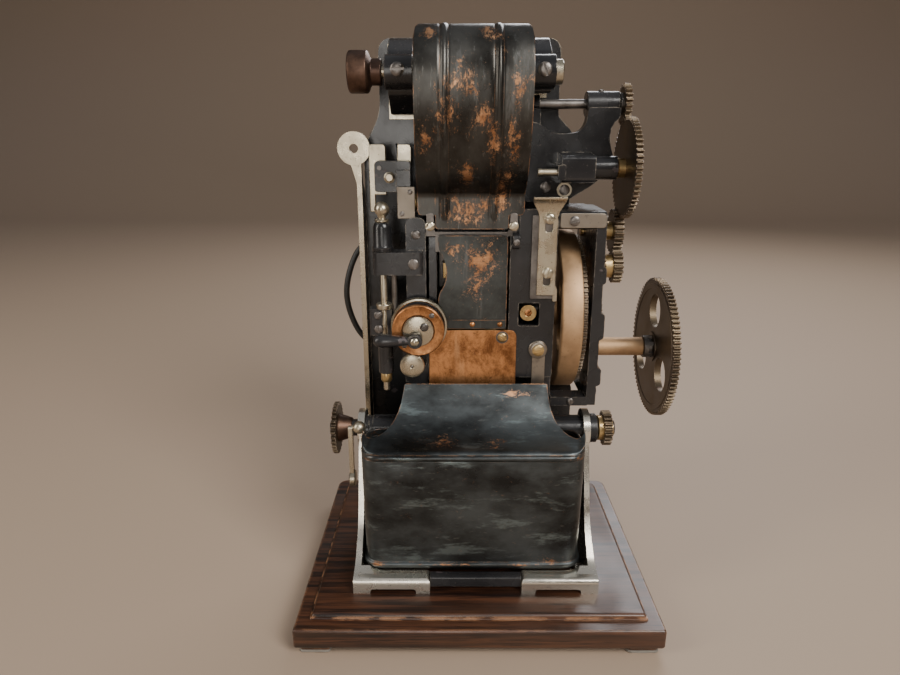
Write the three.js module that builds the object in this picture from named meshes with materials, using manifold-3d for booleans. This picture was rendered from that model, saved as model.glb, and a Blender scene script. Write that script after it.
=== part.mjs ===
// Antique geared label embosser on a wooden plinth. Millimetres, +Z up, the front faces -Y.
// The origin is the middle of the whole model's footprint, on the surface the plinth stands on.
import * as THREE from 'three';
import { mergeVertices } from 'three/addons/utils/BufferGeometryUtils.js';
import Module from 'manifold-3d';

const wasm = await Module();
wasm.setup();

// ---- driving dimensions ----
const PLINTH = {
  left: -125.5, right: 128.5, front: -132, back: 71.5, footTop: 6, boardTop: 21, panelTop: 25,
};
const PANEL_INSET = 10;
const TOES = { inner: 33, outer: 88.2, front: -99, back: -87, top: 36 };
const WALLS = { left: [-87.5, -83.5], right: [82.5, 86.5] };      // the foot castings' uprights
const BOX = { left: -81.5, right: 77, front: -88, back: -44, bottom: 37, top: 125.5, wall: 2, corner: 14 };
const PLATE = { front: 24, back: 30, left: -84.6, right: 84, top: 408.5 };
const HOOD = { left: -41, right: 32.5, sheet: 1.6, hingeY: -36.5, hingeZ: 281 };
const TONGUE = { left: -29, right: 22 };      // the hood's narrow lower end, which the hinge carries
const RUNNING = 0.05;          // radial clearance of a shaft in its bore
const PRESSED = 0.02;          // radial clearance of a wheel on its own shaft
const GAP = 0.3;               // gap left where a curved piece meets its neighbour
const MODULE = 1.25;           // gear module
const SIDES = 16;              // facets of a small round piece
const TEETH = {
  pinion: 16, hub: 36, step: 24, lowerIdler: 19, upperIdler: 25, upper: 56, top: 22, main: 88, lower: 20,
};
const SPOOL = { y: -28, z: 381, shaft: 4 };
const TUBE = { y: -30, z: 124, radius: 10, bore: 6.4 };
const FEED = { y: -12, z: 196, journal: 4 };
const PRESSURE = { y: -12, z: 177, journal: 4 };
const ROCKER = { y: -22, z: 316, pin: 2.5 };
const PLUNGER = { x: -66, y: -36, rod: 2.4 };
const DIAL = { x: -41, z: 209.5, spindle: 5 };
const BUTTON = { x: -46, z: 181.5, spindle: 5 };
const DETENT = { y: -42, z: 94 };
const SLOT_HEIGHTS = [286, 248];              // where the slide's two slots sit on their studs
const SHAFT_END = 153;         // right end of the main shaft, the widest point of the model
const RIM_RADIUS = 62;         // the flywheel's rim, which reaches behind the plinth

// ---- materials ----
const paint = (color, roughness, metalness) =>
  new THREE.MeshStandardMaterial({ color, roughness, metalness });
const enamel = paint(0x232326, 0.35, 0.2);
const nickel = paint(0xc8bea0, 0.35, 0.9);
const copper = paint(0xc07845, 0.4, 0.9);
const wornPaint = paint(0x3a3735, 0.45, 0.6);
const bronze = paint(0xb08a5c, 0.5, 0.8);
const brass = paint(0xaf8c50, 0.35, 0.9);
const gearSteel = paint(0x6a5545, 0.5, 0.8);
const steel = paint(0x6d6862, 0.4, 0.9);
const wood = paint(0x2d1912, 0.4, 0);
const rubber = paint(0x161616, 0.6, 0);
const felt = paint(0xb9b2a6, 0.95, 0);
const paper = paint(0xd8cfba, 0.85, 0);

// ---- helpers ----
const X = new THREE.Vector3(1, 0, 0), Y = new THREE.Vector3(0, 1, 0), Z = new THREE.Vector3(0, 0, 1);
const AXES = { x: [Y, Z, X], y: [Z, X, Y], z: [X, Y, Z] };

function toSolid(geometry) {
  const bare = geometry.index ? geometry.toNonIndexed() : geometry.clone();
  for (const name of ['normal', 'uv', 'uv1']) bare.deleteAttribute(name);
  const merged = mergeVertices(bare, 1e-4);
  const kept = [];
  const index = merged.index.array;
  for (let i = 0; i < index.length; i += 3) {
    const [a, b, c] = [index[i], index[i + 1], index[i + 2]];
    if (a !== b && b !== c && c !== a) kept.push(a, b, c);
  }
  const vertProperties = new Float32Array(merged.attributes.position.array);
  let mesh = new wasm.Mesh({ numProp: 3, vertProperties, triVerts: new Uint32Array(kept) });
  let solid = new wasm.Manifold(mesh);
  if (solid.volume() < 0) {
    for (let i = 0; i < kept.length; i += 3) [kept[i + 1], kept[i + 2]] = [kept[i + 2], kept[i + 1]];
    mesh = new wasm.Mesh({ numProp: 3, vertProperties, triVerts: new Uint32Array(kept) });
    solid = new wasm.Manifold(mesh);
  }
  return solid;
}

function toGeometry(solid) {
  const mesh = solid.getMesh();
  const geometry = new THREE.BufferGeometry();
  geometry.setAttribute('position', new THREE.BufferAttribute(new Float32Array(mesh.vertProperties), 3));
  geometry.setIndex(new THREE.BufferAttribute(new Uint32Array(mesh.triVerts), 1));
  geometry.computeVertexNormals();
  return geometry;
}

const join = (...solids) => solids.reduce((whole, solid) => whole.add(solid));
const cut = (whole, ...tools) => tools.reduce((rest, tool) => rest.subtract(tool), whole);

function block(x0, x1, y0, y1, z0, z1) {
  const geometry = new THREE.BoxGeometry(x1 - x0, y1 - y0, z1 - z0);
  return toSolid(geometry.translate((x0 + x1) / 2, (y0 + y1) / 2, (z0 + z1) / 2));
}

// A turned piece: rings are [distance along the axis, radius], closed on the axis at both ends.
function turned(axis, rings, centre = [0, 0], sides = SIDES) {
  const profile = rings.map(([along, radius]) => new THREE.Vector2(radius, along));
  profile.unshift(new THREE.Vector2(0, rings[0][0]));
  profile.push(new THREE.Vector2(0, rings[rings.length - 1][0]));
  const geometry = new THREE.LatheGeometry(profile, sides);
  const [first, second, along] = AXES[axis];
  geometry.applyMatrix4(new THREE.Matrix4().makeBasis(second, along, first));
  return toSolid(geometry.translate(...onAxis(axis, centre)));
}
const bore = (radius) => (radius + RUNNING) / Math.cos(Math.PI / SIDES);
const rod = (axis, radius, from, to, centre, sides) =>
  turned(axis, [[from, radius], [to, radius]], centre, sides);

// The centre of a piece turned about X is [y, z], about Y it is [x, z], about Z it is [x, y].
function onAxis(axis, [a, b]) {
  if (axis === 'x') return [0, a, b];
  if (axis === 'y') return [a, 0, b];
  return [a, b, 0];
}

function outline(points, corner = 0) {
  const shape = new THREE.Shape();
  const count = points.length;
  points.forEach(([x, y, own], i) => {
    const radius = own ?? corner;
    const here = new THREE.Vector2(x, y);
    if (!radius) {
      if (i) shape.lineTo(x, y); else shape.moveTo(x, y);
      return;
    }
    const before = new THREE.Vector2(...points[(i + count - 1) % count]);
    const after = new THREE.Vector2(...points[(i + 1) % count]);
    const start = here.clone().add(before.sub(here).setLength(radius));
    const end = here.clone().add(after.sub(here).setLength(radius));
    if (i) shape.lineTo(start.x, start.y); else shape.moveTo(start.x, start.y);
    shape.quadraticCurveTo(x, y, end.x, end.y);
  });
  shape.closePath();
  return shape;
}

// Extrusions of an outline: in the YZ plane along X, in the XZ plane along Y, in the XY plane along Z.
function extruded(axis, shape, from, to, steps = 5) {
  const geometry = new THREE.ExtrudeGeometry(shape,
    { depth: to - from, bevelEnabled: false, curveSegments: steps });
  if (axis === 'x') geometry.applyMatrix4(new THREE.Matrix4().makeBasis(Y, Z, X)).translate(from, 0, 0);
  if (axis === 'y') {
    const back = Y.clone().negate();
    geometry.applyMatrix4(new THREE.Matrix4().makeBasis(X, Z, back)).translate(0, to, 0);
  }
  if (axis === 'z') geometry.translate(0, 0, from);
  return toSolid(geometry);
}

// A sheet of even thickness that follows a line of points, given from one end to the other.
function sheetOutline(points, thickness) {
  const inner = points.map(([x, y], i) => {
    const [ax, ay] = points[Math.max(i - 1, 0)];
    const [bx, by] = points[Math.min(i + 1, points.length - 1)];
    const length = Math.hypot(bx - ax, by - ay);
    return [x + (by - ay) / length * thickness, y - (bx - ax) / length * thickness];
  });
  return outline([...points, ...inner.reverse()]);
}

// A spur gear's outline with slim V-shaped teeth, one of them centred on the angle phase.
function gearShape(teeth, phase, module = MODULE) {
  const pitch = module * teeth / 2;
  const root = pitch - 1.45 * module, tip = pitch + 0.8 * module;
  const halfStep = Math.PI / teeth;
  const shape = new THREE.Shape();
  for (let i = 0; i < 2 * teeth; i++) {
    const radius = i % 2 ? root : tip;
    const angle = phase + i * halfStep;
    const point = [radius * Math.cos(angle), radius * Math.sin(angle)];
    if (i) shape.lineTo(...point); else shape.moveTo(...point);
  }
  shape.closePath();
  return shape;
}

// The phase that lets gear b's teeth fall between gear a's, both as { y, z, teeth, phase }.
function meshedPhase(a, b, teethA = a.teeth, teethB = b.teeth) {
  const towards = Math.atan2(b.z - a.z, b.y - a.y);
  const shareA = (towards - a.phase) * teethA / (2 * Math.PI);
  const shareB = 0.5 - shareA;
  return towards + Math.PI - shareB * 2 * Math.PI / teethB;
}

const reach = (teethA, teethB) => MODULE * (teethA + teethB) / 2;
function along(from, distance, degrees) {
  const angle = THREE.MathUtils.degToRad(degrees);
  return { y: from.y + distance * Math.sin(angle), z: from.z + distance * Math.cos(angle) };
}

// ---- gear train: every axis lies along X, and each pair stands its exact centre distance apart ----
const FLYWHEEL = { y: 15.5, z: 208.2, phase: 0 };
const MAIN = along(FLYWHEEL, reach(TEETH.hub, TEETH.pinion), 180);
const LOWER_IDLER = along(FLYWHEEL, reach(TEETH.hub, TEETH.step), -16.2);
const UPPER_IDLER = along(LOWER_IDLER, reach(TEETH.lowerIdler, TEETH.upperIdler), 20);
const UPPER = along(UPPER_IDLER, reach(TEETH.upperIdler, TEETH.upper), -19);
const TOP = along(UPPER, reach(TEETH.upper, TEETH.top), 23.6);
MAIN.phase = meshedPhase(FLYWHEEL, MAIN, TEETH.hub, TEETH.pinion);
LOWER_IDLER.phase = meshedPhase(FLYWHEEL, LOWER_IDLER, TEETH.hub, TEETH.step);
UPPER_IDLER.phase = meshedPhase(LOWER_IDLER, UPPER_IDLER, TEETH.lowerIdler, TEETH.upperIdler);
UPPER.phase = meshedPhase(UPPER_IDLER, UPPER, TEETH.upperIdler, TEETH.upper);
TOP.phase = meshedPhase(UPPER, TOP, TEETH.upper, TEETH.top);
const OUTER = { from: 108, to: 112.5 };      // the plane of the two upper gears
const IDLERS = { from: 105.5, to: 112.5 };   // the wide-faced idlers that drive them
const INNER = { from: 94.5, to: 98.5 };      // the plane of the hub gear, its pinion and the step gear
const MAIN_FACE = { from: 146, to: 151.5 };

const machine = new THREE.Group();
machine.position.x = -(PLINTH.left + SHAFT_END) / 2;
machine.position.y = -(PLINTH.front + FLYWHEEL.y + RIM_RADIUS) / 2;

function add(name, solid, material, place = [0, 0, 0]) {
  const mesh = new THREE.Mesh(toGeometry(solid), material);
  mesh.name = name;
  mesh.position.set(...place);
  machine.add(mesh);
}
const onX = ({ y, z }) => [0, y, z];

// ---- plinth ----
function addPlinth() {
  const { left, right, front, back, footTop, boardTop, panelTop } = PLINTH;
  const plan = (inset, corner) => outline([[left + inset, front + inset], [right - inset, front + inset],
    [right - inset, back - inset, corner], [left + inset, back - inset, corner]]);
  add('plinth_board', extruded('z', plan(0, 8), footTop, boardTop), wood);
  add('plinth_panel', extruded('z', plan(PANEL_INSET, 5), boardTop, panelTop), wood);
  const half = 11;
  const fromEdge = half + 3;
  for (const [row, y] of [['front', front + fromEdge], ['rear', back - fromEdge]]) {
    for (const [side, x] of [['left', left + fromEdge], ['right', right - fromEdge]]) {
      add(`plinth_foot_${row}_${side}`, block(x - half, x + half, y - half, y + half, 0, footTop), felt);
    }
  }
}

// ---- the two nickel foot castings, the bar between them and the tube they carry ----
function addFeet() {
  const base = PLINTH.panelTop;
  const profile = outline([[TOES.front + 2, base], [TOES.front + 2, 34, 3], [-86, 38, 5], [-68, 58, 8],
    [-50, 106, 6], [-45, TUBE.z], [-15, TUBE.z], [-10, 62, 10], [PLATE.front, 48],
    [PLATE.front, base]]);
  for (const [tag, side] of [['left', -1], ['right', 1]]) {
    const [low, high] = WALLS[tag];
    const across = (a, b) => (side < 0 ? [-b, -a] : [a, b]);
    const wall = extruded('x', profile, low, high, 4);
    const eye = rod('x', 15, low, high, [TUBE.y, TUBE.z]);
    const toes = block(...across(TOES.inner, TOES.outer), TOES.front, TOES.back, base, TOES.top);
    const flange = block(...across(75, TOES.outer), TOES.back, 14, base, 29);
    const arch = block(...across(43, 76), TOES.front - 1, TOES.back + 2, base - 1, 28.4);
    const seat = rod('x', bore(TUBE.radius), low - 1, high + 1, [TUBE.y, TUBE.z]);
    add(`foot_casting_${tag}`, cut(join(wall, eye, toes, flange), arch, seat), nickel);
  }
  add('base_tie_bar', block(-TOES.inner, TOES.inner, -96, -88, 28.6, 36.4), enamel);
  const tube = rod('x', TUBE.radius, -89.5, 94);
  add('feed_tube', cut(tube, rod('x', bore(TUBE.bore), -92, 98)), enamel, [0, TUBE.y, TUBE.z]);
}

// ---- receiving box and its chute cover ----
function addBox() {
  const { left, right, front, back, bottom, top, wall, corner } = BOX;
  const shell = (inset, z0, z1) => extruded('z', outline([
    [left + inset, front + inset], [right - inset, front + inset],
    [right - inset, back - inset], [left + inset, back - inset]], corner - inset), z0, z1);
  const mouth = shell(wall, bottom + wall, top + 1);
  add('receiving_box', cut(shell(0, bottom, top), mouth), wornPaint);
  const rimTop = top + 4;
  const sweep = [[front - 1, top], [front - 1, rimTop], [-82, rimTop + 2], [-72, rimTop + 7],
    [-62, rimTop + 15], [-54, rimTop + 24.5], [-48, rimTop + 37]];
  const under = [[-45.5, rimTop + 37], [-50, rimTop + 23], [-58, rimTop + 12.5], [-69, rimTop + 4.5],
    [-80, rimTop - 0.5], [-80, top]];
  const lid = extruded('x', outline([...sweep, ...under]), left - 1, right + 1);
  const rim = cut(block(left - 1, right + 1, front - 1, back, top, rimTop),
    block(left + 1, right - 1, front + 2, back + 2, top - 4, rimTop + 2));
  const notches = [left + 2, right - 2].map((x) => rod('y', 22, -90, -30, [x, rimTop + 35], 24));
  add('chute_cover', join(cut(lid, ...notches), rim), wornPaint);
}

// ---- back plate with a notch for the flywheel, and the nickel bar along its left edge ----
function addPlate() {
  const { front, back, left, right, top } = PLATE;
  const shape = outline([[left, PLINTH.panelTop], [left, 318], [left, 334, 12], [-71.5, 350, 10],
    [-71.5, top, 10], [62.5, top, 10], [62.5, 354], [74, 343], [74, 276], [57, 276], [57, 142],
    [right, 142], [right, PLINTH.panelTop]]);
  add('back_plate', extruded('y', shape, front, back), enamel);
  const bar = block(-88.4, left, 6, 24, 60, 322);
  const eyeCentre = [-89.8, 331.5];
  const eye = rod('y', 12.15, 6, 12, eyeCentre);
  const hole = rod('y', 3.3, 5, 13, eyeCentre);
  const thinner = block(-90, left + 1, 12, 25, 300, 330);
  add('side_bar', cut(join(cut(bar, thinner), eye), hole), nickel);
}

// ---- label spool across the top ----
function addSpool() {
  const { y, z, shaft } = SPOOL;
  for (const [tag, x0, x1, foot] of [['left', -61, -44, 355], ['right', 37, 50, 370]]) {
    const body = join(block(x0, x1, y + 4, PLATE.front, foot, 405.5), rod('x', 11, x0, x1, [y, z]));
    add(`spool_bearing_${tag}`, cut(body, rod('x', bore(shaft), x0 - 1, x1 + 1, [y, z])), enamel);
  }
  const stem = turned('x', [[-76, shaft], [38, shaft], [50.4, shaft], [50.4, 8], [56, 8]]);
  add('spool_shaft', stem, steel, [0, y, z]);
  const knob = turned('x', [[-86, 12], [-84.5, 13.6], [-74, 13.6], [-71.4, 9.3], [-70.6, 8.5], [-64, 8.5]]);
  const socket = rod('x', shaft, -76, -60);
  const screwHole = rod('z', 2, 8, 18, [-79, 0], 12);
  add('spool_knob', cut(knob, socket, screwHole), bronze, [0, y, z]);
  const roll = rod('x', 26, -30, 22, [0, 0], 24);
  add('label_roll', cut(roll, rod('x', shaft + 0.4, -31, 23)), paper, [0, y, z]);
}

// ---- hood: one sheet that curves over the roll and hinges at its lower corners ----
function addHood() {
  const { left, right, sheet, hingeY, hingeZ } = HOOD;
  const line = [[-40.6, 279], [-40.6, 301], [-41.4, 303.5], [-50, 310], [-58, 319], [-65, 331],
    [-70, 345], [-73, 359], [-74, 371], [-73, 382], [-70, 392], [-65, 400], [-59, 405], [-52, 407.4],
    [-44, 408]];
  const strip = extruded('x', sheetOutline(line, sheet), left, right);
  const shoulders = [[left - 1, TONGUE.left], [TONGUE.right, right + 1]].map(([x0, x1]) =>
    block(x0, x1, -46, -36, 270, 288));
  const barrel = rod('x', 2.6, TONGUE.left, TONGUE.right, [hingeY, hingeZ]);
  const pinRadius = 1.2;
  const pinHole = rod('x', bore(pinRadius), left, right, [hingeY, hingeZ]);
  const web = block(TONGUE.left, TONGUE.right, -40, hingeY, hingeZ - 1.5, hingeZ + 1.5);
  add('hood', cut(join(cut(strip, ...shoulders), barrel, web), pinHole), wornPaint);
  const earWidth = 6.2;
  const farEar = [TONGUE.left - GAP - earWidth, TONGUE.right + GAP];
  const ears = farEar.map((x) => join(
    rod('x', 3.2, x, x + earWidth, [hingeY, hingeZ]),
    block(x, x + earWidth, hingeY, -33, hingeZ - 3, hingeZ + 2),
    block(x, x + earWidth, -33.6, -32, 273, hingeZ + 2)));
  const pin = rod('x', pinRadius, TONGUE.left - 2, TONGUE.right + 2, [hingeY, hingeZ]);
  const bridge = block(farEar[0], farEar[1] + earWidth, -33.6, -32, 273, 276);
  const base = block(TONGUE.left, TONGUE.right, -33.6, -32, 262, 276);
  add('hood_hinge_plate', join(...ears, pin, bridge, base), steel);
}

// ---- front plates: gate plate and copper apron ----
function addFrontPlates() {
  const gate = outline([[-27, 207], [22, 207], [22, 274, 5], [-27, 274, 2], [-27, 265, 4], [-21, 255, 6],
    [-21, 240, 6], [-27, 232, 4]]);
  add('gate_plate', extruded('y', gate, -38, -36), wornPaint);
  const apron = outline([[-34, 150], [30, 150], [30, 205, 5], [-34, 205, 2]]);
  add('copper_apron', extruded('y', apron, -37.6, -36.1), copper);
}

// ---- inner frame: the left cheek, the dies and the feed rollers ----
const journalBores = (from, to) => [FEED, PRESSURE].map(({ y, z, journal }) =>
  rod('x', bore(journal), from, to, [y, z]));
function addHead() {
  const cheek = outline([[-32, 150], [PLATE.front, 150], [PLATE.front, 290], [-20, 290, 8], [-32, 270, 8]]);
  add('left_cheek', cut(extruded('x', cheek, -34, -28), ...journalBores(-50, 60)), enamel);
  const roller = (journal, end) => turned('x', [[-33, journal], [-26, journal], [-26, 9], [20, 9],
    [20, journal], [end, journal]]);
  add('feed_roller', roller(FEED.journal, 49), brass, onX(FEED));
  add('pressure_roller', roller(PRESSURE.journal, 31), rubber, onX(PRESSURE));
  add('embossing_platen', block(-27.6, 23.6, 2, PLATE.front, 228, 264), steel);
  const die = join(block(-20, 16, -12, 1, 234, 258), block(-24, 20, -22, -12, 240, 252));
  add('embossing_die', die, brass);
}

// ---- guide column on the right, the slotted slide on its face and the rocker above it ----
function addColumn() {
  const face = outline([[23.8, 168], [57, 168], [57, 292, 3], [30, 292, 3], [30, 274, 4], [23.8, 264, 4]]);
  const front = extruded('y', face, -36, -31);
  const cheek = block(51, 57, -31, PLATE.front, 145, 292);
  const inner = block(24, 30, -31, PLATE.front, 150, 292);
  const window = block(31, 46, -40, -29, 208, 225);
  const shaft = rod('x', bore(6), 40, 70, [FLYWHEEL.y, FLYWHEEL.z]);
  const column = cut(join(front, cheek, inner), window, ...journalBores(20, 50.6), shaft);
  const bigStud = rod('y', 6, -39, -35, [46, 190], 20);
  add('guide_column', join(column, bigStud), enamel);
  const plan = outline([[43, 231.5, 1], [56, 231.5, 1], [56, 290, 4], [61, 298, 3], [61, 301], [41, 301],
    [41, 298, 3], [43, 290, 4]]);
  const slotX = 50;
  const slots = SLOT_HEIGHTS.map((z) => block(slotX - 2.4, slotX + 2.4, -45, -30, z - 9, z + 3));
  const lip = block(41, 61, -45, -39, 299, 301);
  add('slide_plate', join(cut(extruded('y', plan, -39.4, -37.6), ...slots), lip), nickel);
}

function addRocker() {
  const arm = outline([[4, -3], [1, 5], [-8, 5, 2], [-17, -2, 3], [-22, -13], [-16, -13], [-12, -5, 3],
    [-4, -3]]);
  const hub = rod('x', 5.5, 44, 56, [0, 0], 20);
  const body = cut(join(extruded('x', arm, 45, 55), hub), rod('x', bore(ROCKER.pin), 40, 60));
  add('rocker_arm', body, steel, onX(ROCKER));
}

// ---- upper arm casting that carries the top pinion and the upper gear ----
const SHAFT_RADIUS = { top: 3.5, idler: 4, flywheel: 6 };
function addUpperArm() {
  const { top: topShaft, idler: upperShaft } = SHAFT_RADIUS;
  const web = outline([[34, 294], [60, 292], [70, 295], [92, 309], [102, 323], [97, 335, 6],
    [98, 348, 4], [104, 353], [104, 360], [81, 360], [79, 345, 5], [71, 342, 4], [56, 342, 4],
    [44, 350, 4], [34, 350]]);
  const wall = extruded('y', web, 2, 12);
  const topBoss = rod('x', 9, 81, 105, [TOP.y, TOP.z]);
  const upperBoss = rod('x', 8.5, 82, 102.4, [UPPER.y, UPPER.z]);
  const pad = block(60, 84, -20, 3, 309, 327);
  const foot = block(34, 57.6, 12, PLATE.front, 297, 341);
  const pivot = block(56.6, 62, -26, 3, 311, 321);
  const pin = rod('x', ROCKER.pin, 43.6, 58, [ROCKER.y, ROCKER.z]);
  const innerBoss = join(rod('x', 6.5, 34, 47, [TOP.y, TOP.z]), block(34, 47, 6, PLATE.front, 346, 359));
  const arm = join(wall, topBoss, upperBoss, pad, foot, pivot, pin, innerBoss);
  const topBore = rod('x', bore(topShaft), 30, 110, [TOP.y, TOP.z]);
  const upperBore = rod('x', bore(upperShaft), 70, 110, [UPPER.y, UPPER.z]);
  add('upper_arm', cut(arm, topBore, upperBore), enamel);
}

// ---- gear bracket: a bridge round the flywheel with a wall on its right ----
function addBracket() {
  const top = 290, bottom = 145;
  const wallShape = outline([[-36, bottom], [PLATE.front, bottom], [36, 150, 4], [38, 264, 4],
    [PLATE.front, top, 8], [-36, top, 6]]);
  const wall = extruded('x', wallShape, 84, 91);
  const bars = [block(57.2, 85, -36, PLATE.front, top - 12, top), block(57.2, 85, -36, -22, bottom, 152)];
  const inside = block(50, 83.9, -60, 60, 154, top - 13);
  const seats = [[FLYWHEEL, SHAFT_RADIUS.flywheel], [MAIN, SHAFT_RADIUS.flywheel],
    [LOWER_IDLER, SHAFT_RADIUS.idler], [UPPER_IDLER, SHAFT_RADIUS.idler]];
  const bosses = [[MAIN, 10, 93.6], [LOWER_IDLER, 8, 93.6],
    [UPPER_IDLER, 8, 100]].map(([at, radius, end]) => rod('x', radius, 90, end, [at.y, at.z]));
  const bores = seats.map(([at, radius]) => rod('x', bore(radius), 80, 104, [at.y, at.z]));
  const ledges = [[160, 176, 94], [196, 218, 94], [238, 252, 93]].map(([z0, z1, x1]) =>
    block(90, x1, -36, -24, z0, z1));
  add('gear_bracket', cut(join(wall, ...bars, ...bosses, ...ledges), inside, ...bores), enamel);
}

// ---- gears ----
const wheel = (teeth, phase, { from, to }) => extruded('x', gearShape(teeth, phase), from, to, 1);

// A wheel fixed to its own shaft, with a hub on the shaft's bearing side.
function gearOnShaft(teeth, phase, face, shaftRadius, shaftStart, hubRadius, hubStart) {
  const shaft = rod('x', shaftRadius, shaftStart, face.to + 1);
  const hub = rod('x', hubRadius, hubStart, face.from + 0.5);
  return join(wheel(teeth, phase, face), shaft, hub);
}

// Points spread evenly round a circle of the given radius.
const spread = (count, radius, start = 0) => Array.from({ length: count }, (_, i) => {
  const angle = THREE.MathUtils.degToRad(start) + i * 2 * Math.PI / count;
  return [radius * Math.cos(angle), radius * Math.sin(angle)];
});

function addGears() {
  const { top, idler, flywheel } = SHAFT_RADIUS;
  add('top_pinion', gearOnShaft(TEETH.top, TOP.phase, OUTER, top, 38, 8, 105.4), gearSteel, onX(TOP));
  add('upper_gear', gearOnShaft(TEETH.upper, UPPER.phase, OUTER, idler, 84, 7, 102.8), gearSteel, onX(UPPER));
  add('upper_idler', gearOnShaft(TEETH.upperIdler, UPPER_IDLER.phase, IDLERS, idler, 82, 7, 100.4), gearSteel,
    onX(UPPER_IDLER));
  const lowerIdler = gearOnShaft(TEETH.lowerIdler, LOWER_IDLER.phase, IDLERS, idler, 82, 9, INNER.to - 0.5);
  const step = wheel(TEETH.step, LOWER_IDLER.phase, INNER);
  add('lower_idler', join(lowerIdler, step), gearSteel, onX(LOWER_IDLER));
  const hubGear = wheel(TEETH.hub, FLYWHEEL.phase, INNER);
  add('flywheel_shaft', join(rod('x', flywheel, 40.5, 100), hubGear), steel, onX(FLYWHEEL));
}

function addFlywheel() {
  const shaft = SHAFT_RADIUS.flywheel;
  const radius = RIM_RADIUS, recess = 53;
  const disc = cut(rod('x', radius, 61.7, 77, [0, 0], 36), rod('x', recess, 60, 65, [0, 0], 28),
    rod('x', recess, 74, 80, [0, 0], 28));
  const hub = rod('x', 14, 60, 77);
  const eyes = spread(5, 33).map((at) => rod('x', 10, 60, 80, at, 10));
  add('flywheel', cut(join(disc, hub), ...eyes, rod('x', shaft + PRESSED, 50, 90)), bronze, onX(FLYWHEEL));
  const ring = cut(rod('x', 58.5, 77.2, 80.5, [0, 0], 36), rod('x', 50, 70, 90, [0, 0], 28));
  add('ring_gear', ring, gearSteel, onX(FLYWHEEL));
}

function addMainDrive() {
  const shaft = SHAFT_RADIUS.flywheel;
  const holes = spread(3, 30, 90).map((at) => rod('x', 13.5, 140, 160, at, 12));
  const gear = cut(wheel(TEETH.main, 0, MAIN_FACE), ...holes, rod('x', shaft + PRESSED, 140, 160));
  add('main_gear', gear, gearSteel, onX(MAIN));
  const sleeve = rod('x', 7.4, 99.5, 138);
  const collar = rod('x', 9, 138, MAIN_FACE.from - 0.1);
  const pinion = wheel(TEETH.pinion, MAIN.phase, INNER);
  add('main_shaft', join(rod('x', shaft, 82, SHAFT_END), sleeve, pinion, collar), bronze, onX(MAIN));
}

// ---- lower shaft inside the tube, with its pinion, toothed disc and the spring lever beside it ----
function addLowerShaft() {
  const place = onX(TUBE);
  const shaft = TUBE.bore;
  add('lower_shaft', rod('x', shaft, -111, 108), steel, place);
  const face = { from: 99, to: 105 };
  const pinion = join(wheel(TEETH.lower, 0, face), rod('x', 9.5, 95, 99.5), rod('x', 8.5, 104.5, 106.5));
  add('lower_pinion', cut(pinion, rod('x', shaft + PRESSED, 80, 120)), brass, place);
  const bumps = 30, bumpModule = 1.27;
  const disc = extruded('x', gearShape(bumps, 0, bumpModule), -108, -104.5, 1);
  const cone = turned('x', [[-105, 11], [-94, 7.5]]);
  add('ratchet_wheel', cut(join(disc, cone), rod('x', shaft + PRESSED, -115, -80)), gearSteel, place);
  const bar = outline([[-16, -4], [-10, -4], [-8, 41, 2], [-14, 43, 2]]);
  const lever = join(extruded('x', bar, -93.6, -90.6), rod('x', 6, -93.6, -89.6, [-13, 0]));
  const knob = toSolid(new THREE.SphereGeometry(4.8, 10, 6).translate(-85.7, -12, 41));
  const stem = rod('x', 1.8, -92.2, -85.2, [-12, 41], 12);
  add('detent_lever', join(lever, stem, knob), nickel, onX(DETENT));
}

// ---- left stack: plunger, clamp, pin block and lift bar ----
function addLeftStack() {
  const { x, y, rod: rodRadius } = PLUNGER;
  const column = outline([[-50, 150], [-35.8, 150], [-35.8, 286, 4], [-50, 286, 4]]);
  const casting = extruded('y', column, -34, PLATE.front);
  const arm = block(x - 6.6, -38, y - 8, y + 8, 247, 263);
  const clamp = block(x - 11, -62, y - 2, y + 8, 201, 221);
  const link = block(-63, -45, -33, y + 8, 201, 221);
  const cylinder = rod('z', 5.5, 172, 202, [x, y]);
  const rodHole = rod('z', bore(rodRadius), 140, 300, [x, y]);
  const dialBore = rod('y', bore(DIAL.spindle), -70, -10, [DIAL.x, DIAL.z]);
  const buttonBore = rod('y', bore(BUTTON.spindle), -60, 10, [BUTTON.x, BUTTON.z]);
  const relief = rod('y', 10, -40, -26, [BUTTON.x, BUTTON.z], 20);
  const boss = rod('y', 9, -33, PLATE.front, [BUTTON.x, BUTTON.z], 20);
  const seat = block(-52, -34.3, -34, PLATE.front, 163, 203);
  const bracket = join(casting, arm, clamp, link, cylinder, boss, seat);
  add('plunger_bracket', cut(bracket, rodHole, dialBore, buttonBore, relief), enamel);
  const barrel = turned('z', [[263, 6.5], [281, 6.5], [283, 5.5]], [x, y]);
  add('plunger_barrel', cut(barrel, rodHole), enamel);
  add('plunger_rod', rod('z', rodRadius, 158, 289, [x, y]), nickel);
  const ball = toSolid(new THREE.SphereGeometry(5.25, 12, 8).rotateX(Math.PI / 2).translate(x, y, 292));
  const collar = turned('z', [[283.3, 4.6], [285.5, 4.6], [287.5, 2.8], [290, 2.8]], [x, y]);
  add('plunger_knob', cut(join(ball, collar), rod('z', rodRadius + PRESSED, 282, 289, [x, y])), nickel);
  const pinBlock = join(block(-71, -46, -30, -18, 303, 324), block(-56, -46, -30, PLATE.front, 303, 318));
  add('pin_block', join(pinBlock, rod('y', 3, -32, -29, [-60.5, 313])), enamel);
  const prongs = cut(block(-74, -46, -17.6, -13.6, 300, 335), block(-64, -56, -20, -10, 323, 342),
    block(-64, -40, -20, 0, 298, 319));
  add('lift_bar', join(prongs, block(-76, -72, -17.6, -13.6, 288, 335)), nickel);
  const stackAxis = [-24, 296];
  add('roller_stack', join(rod('x', 4.5, -49, -30, stackAxis), rod('x', 6, -46, -42, stackAxis)), brass);
}

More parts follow.
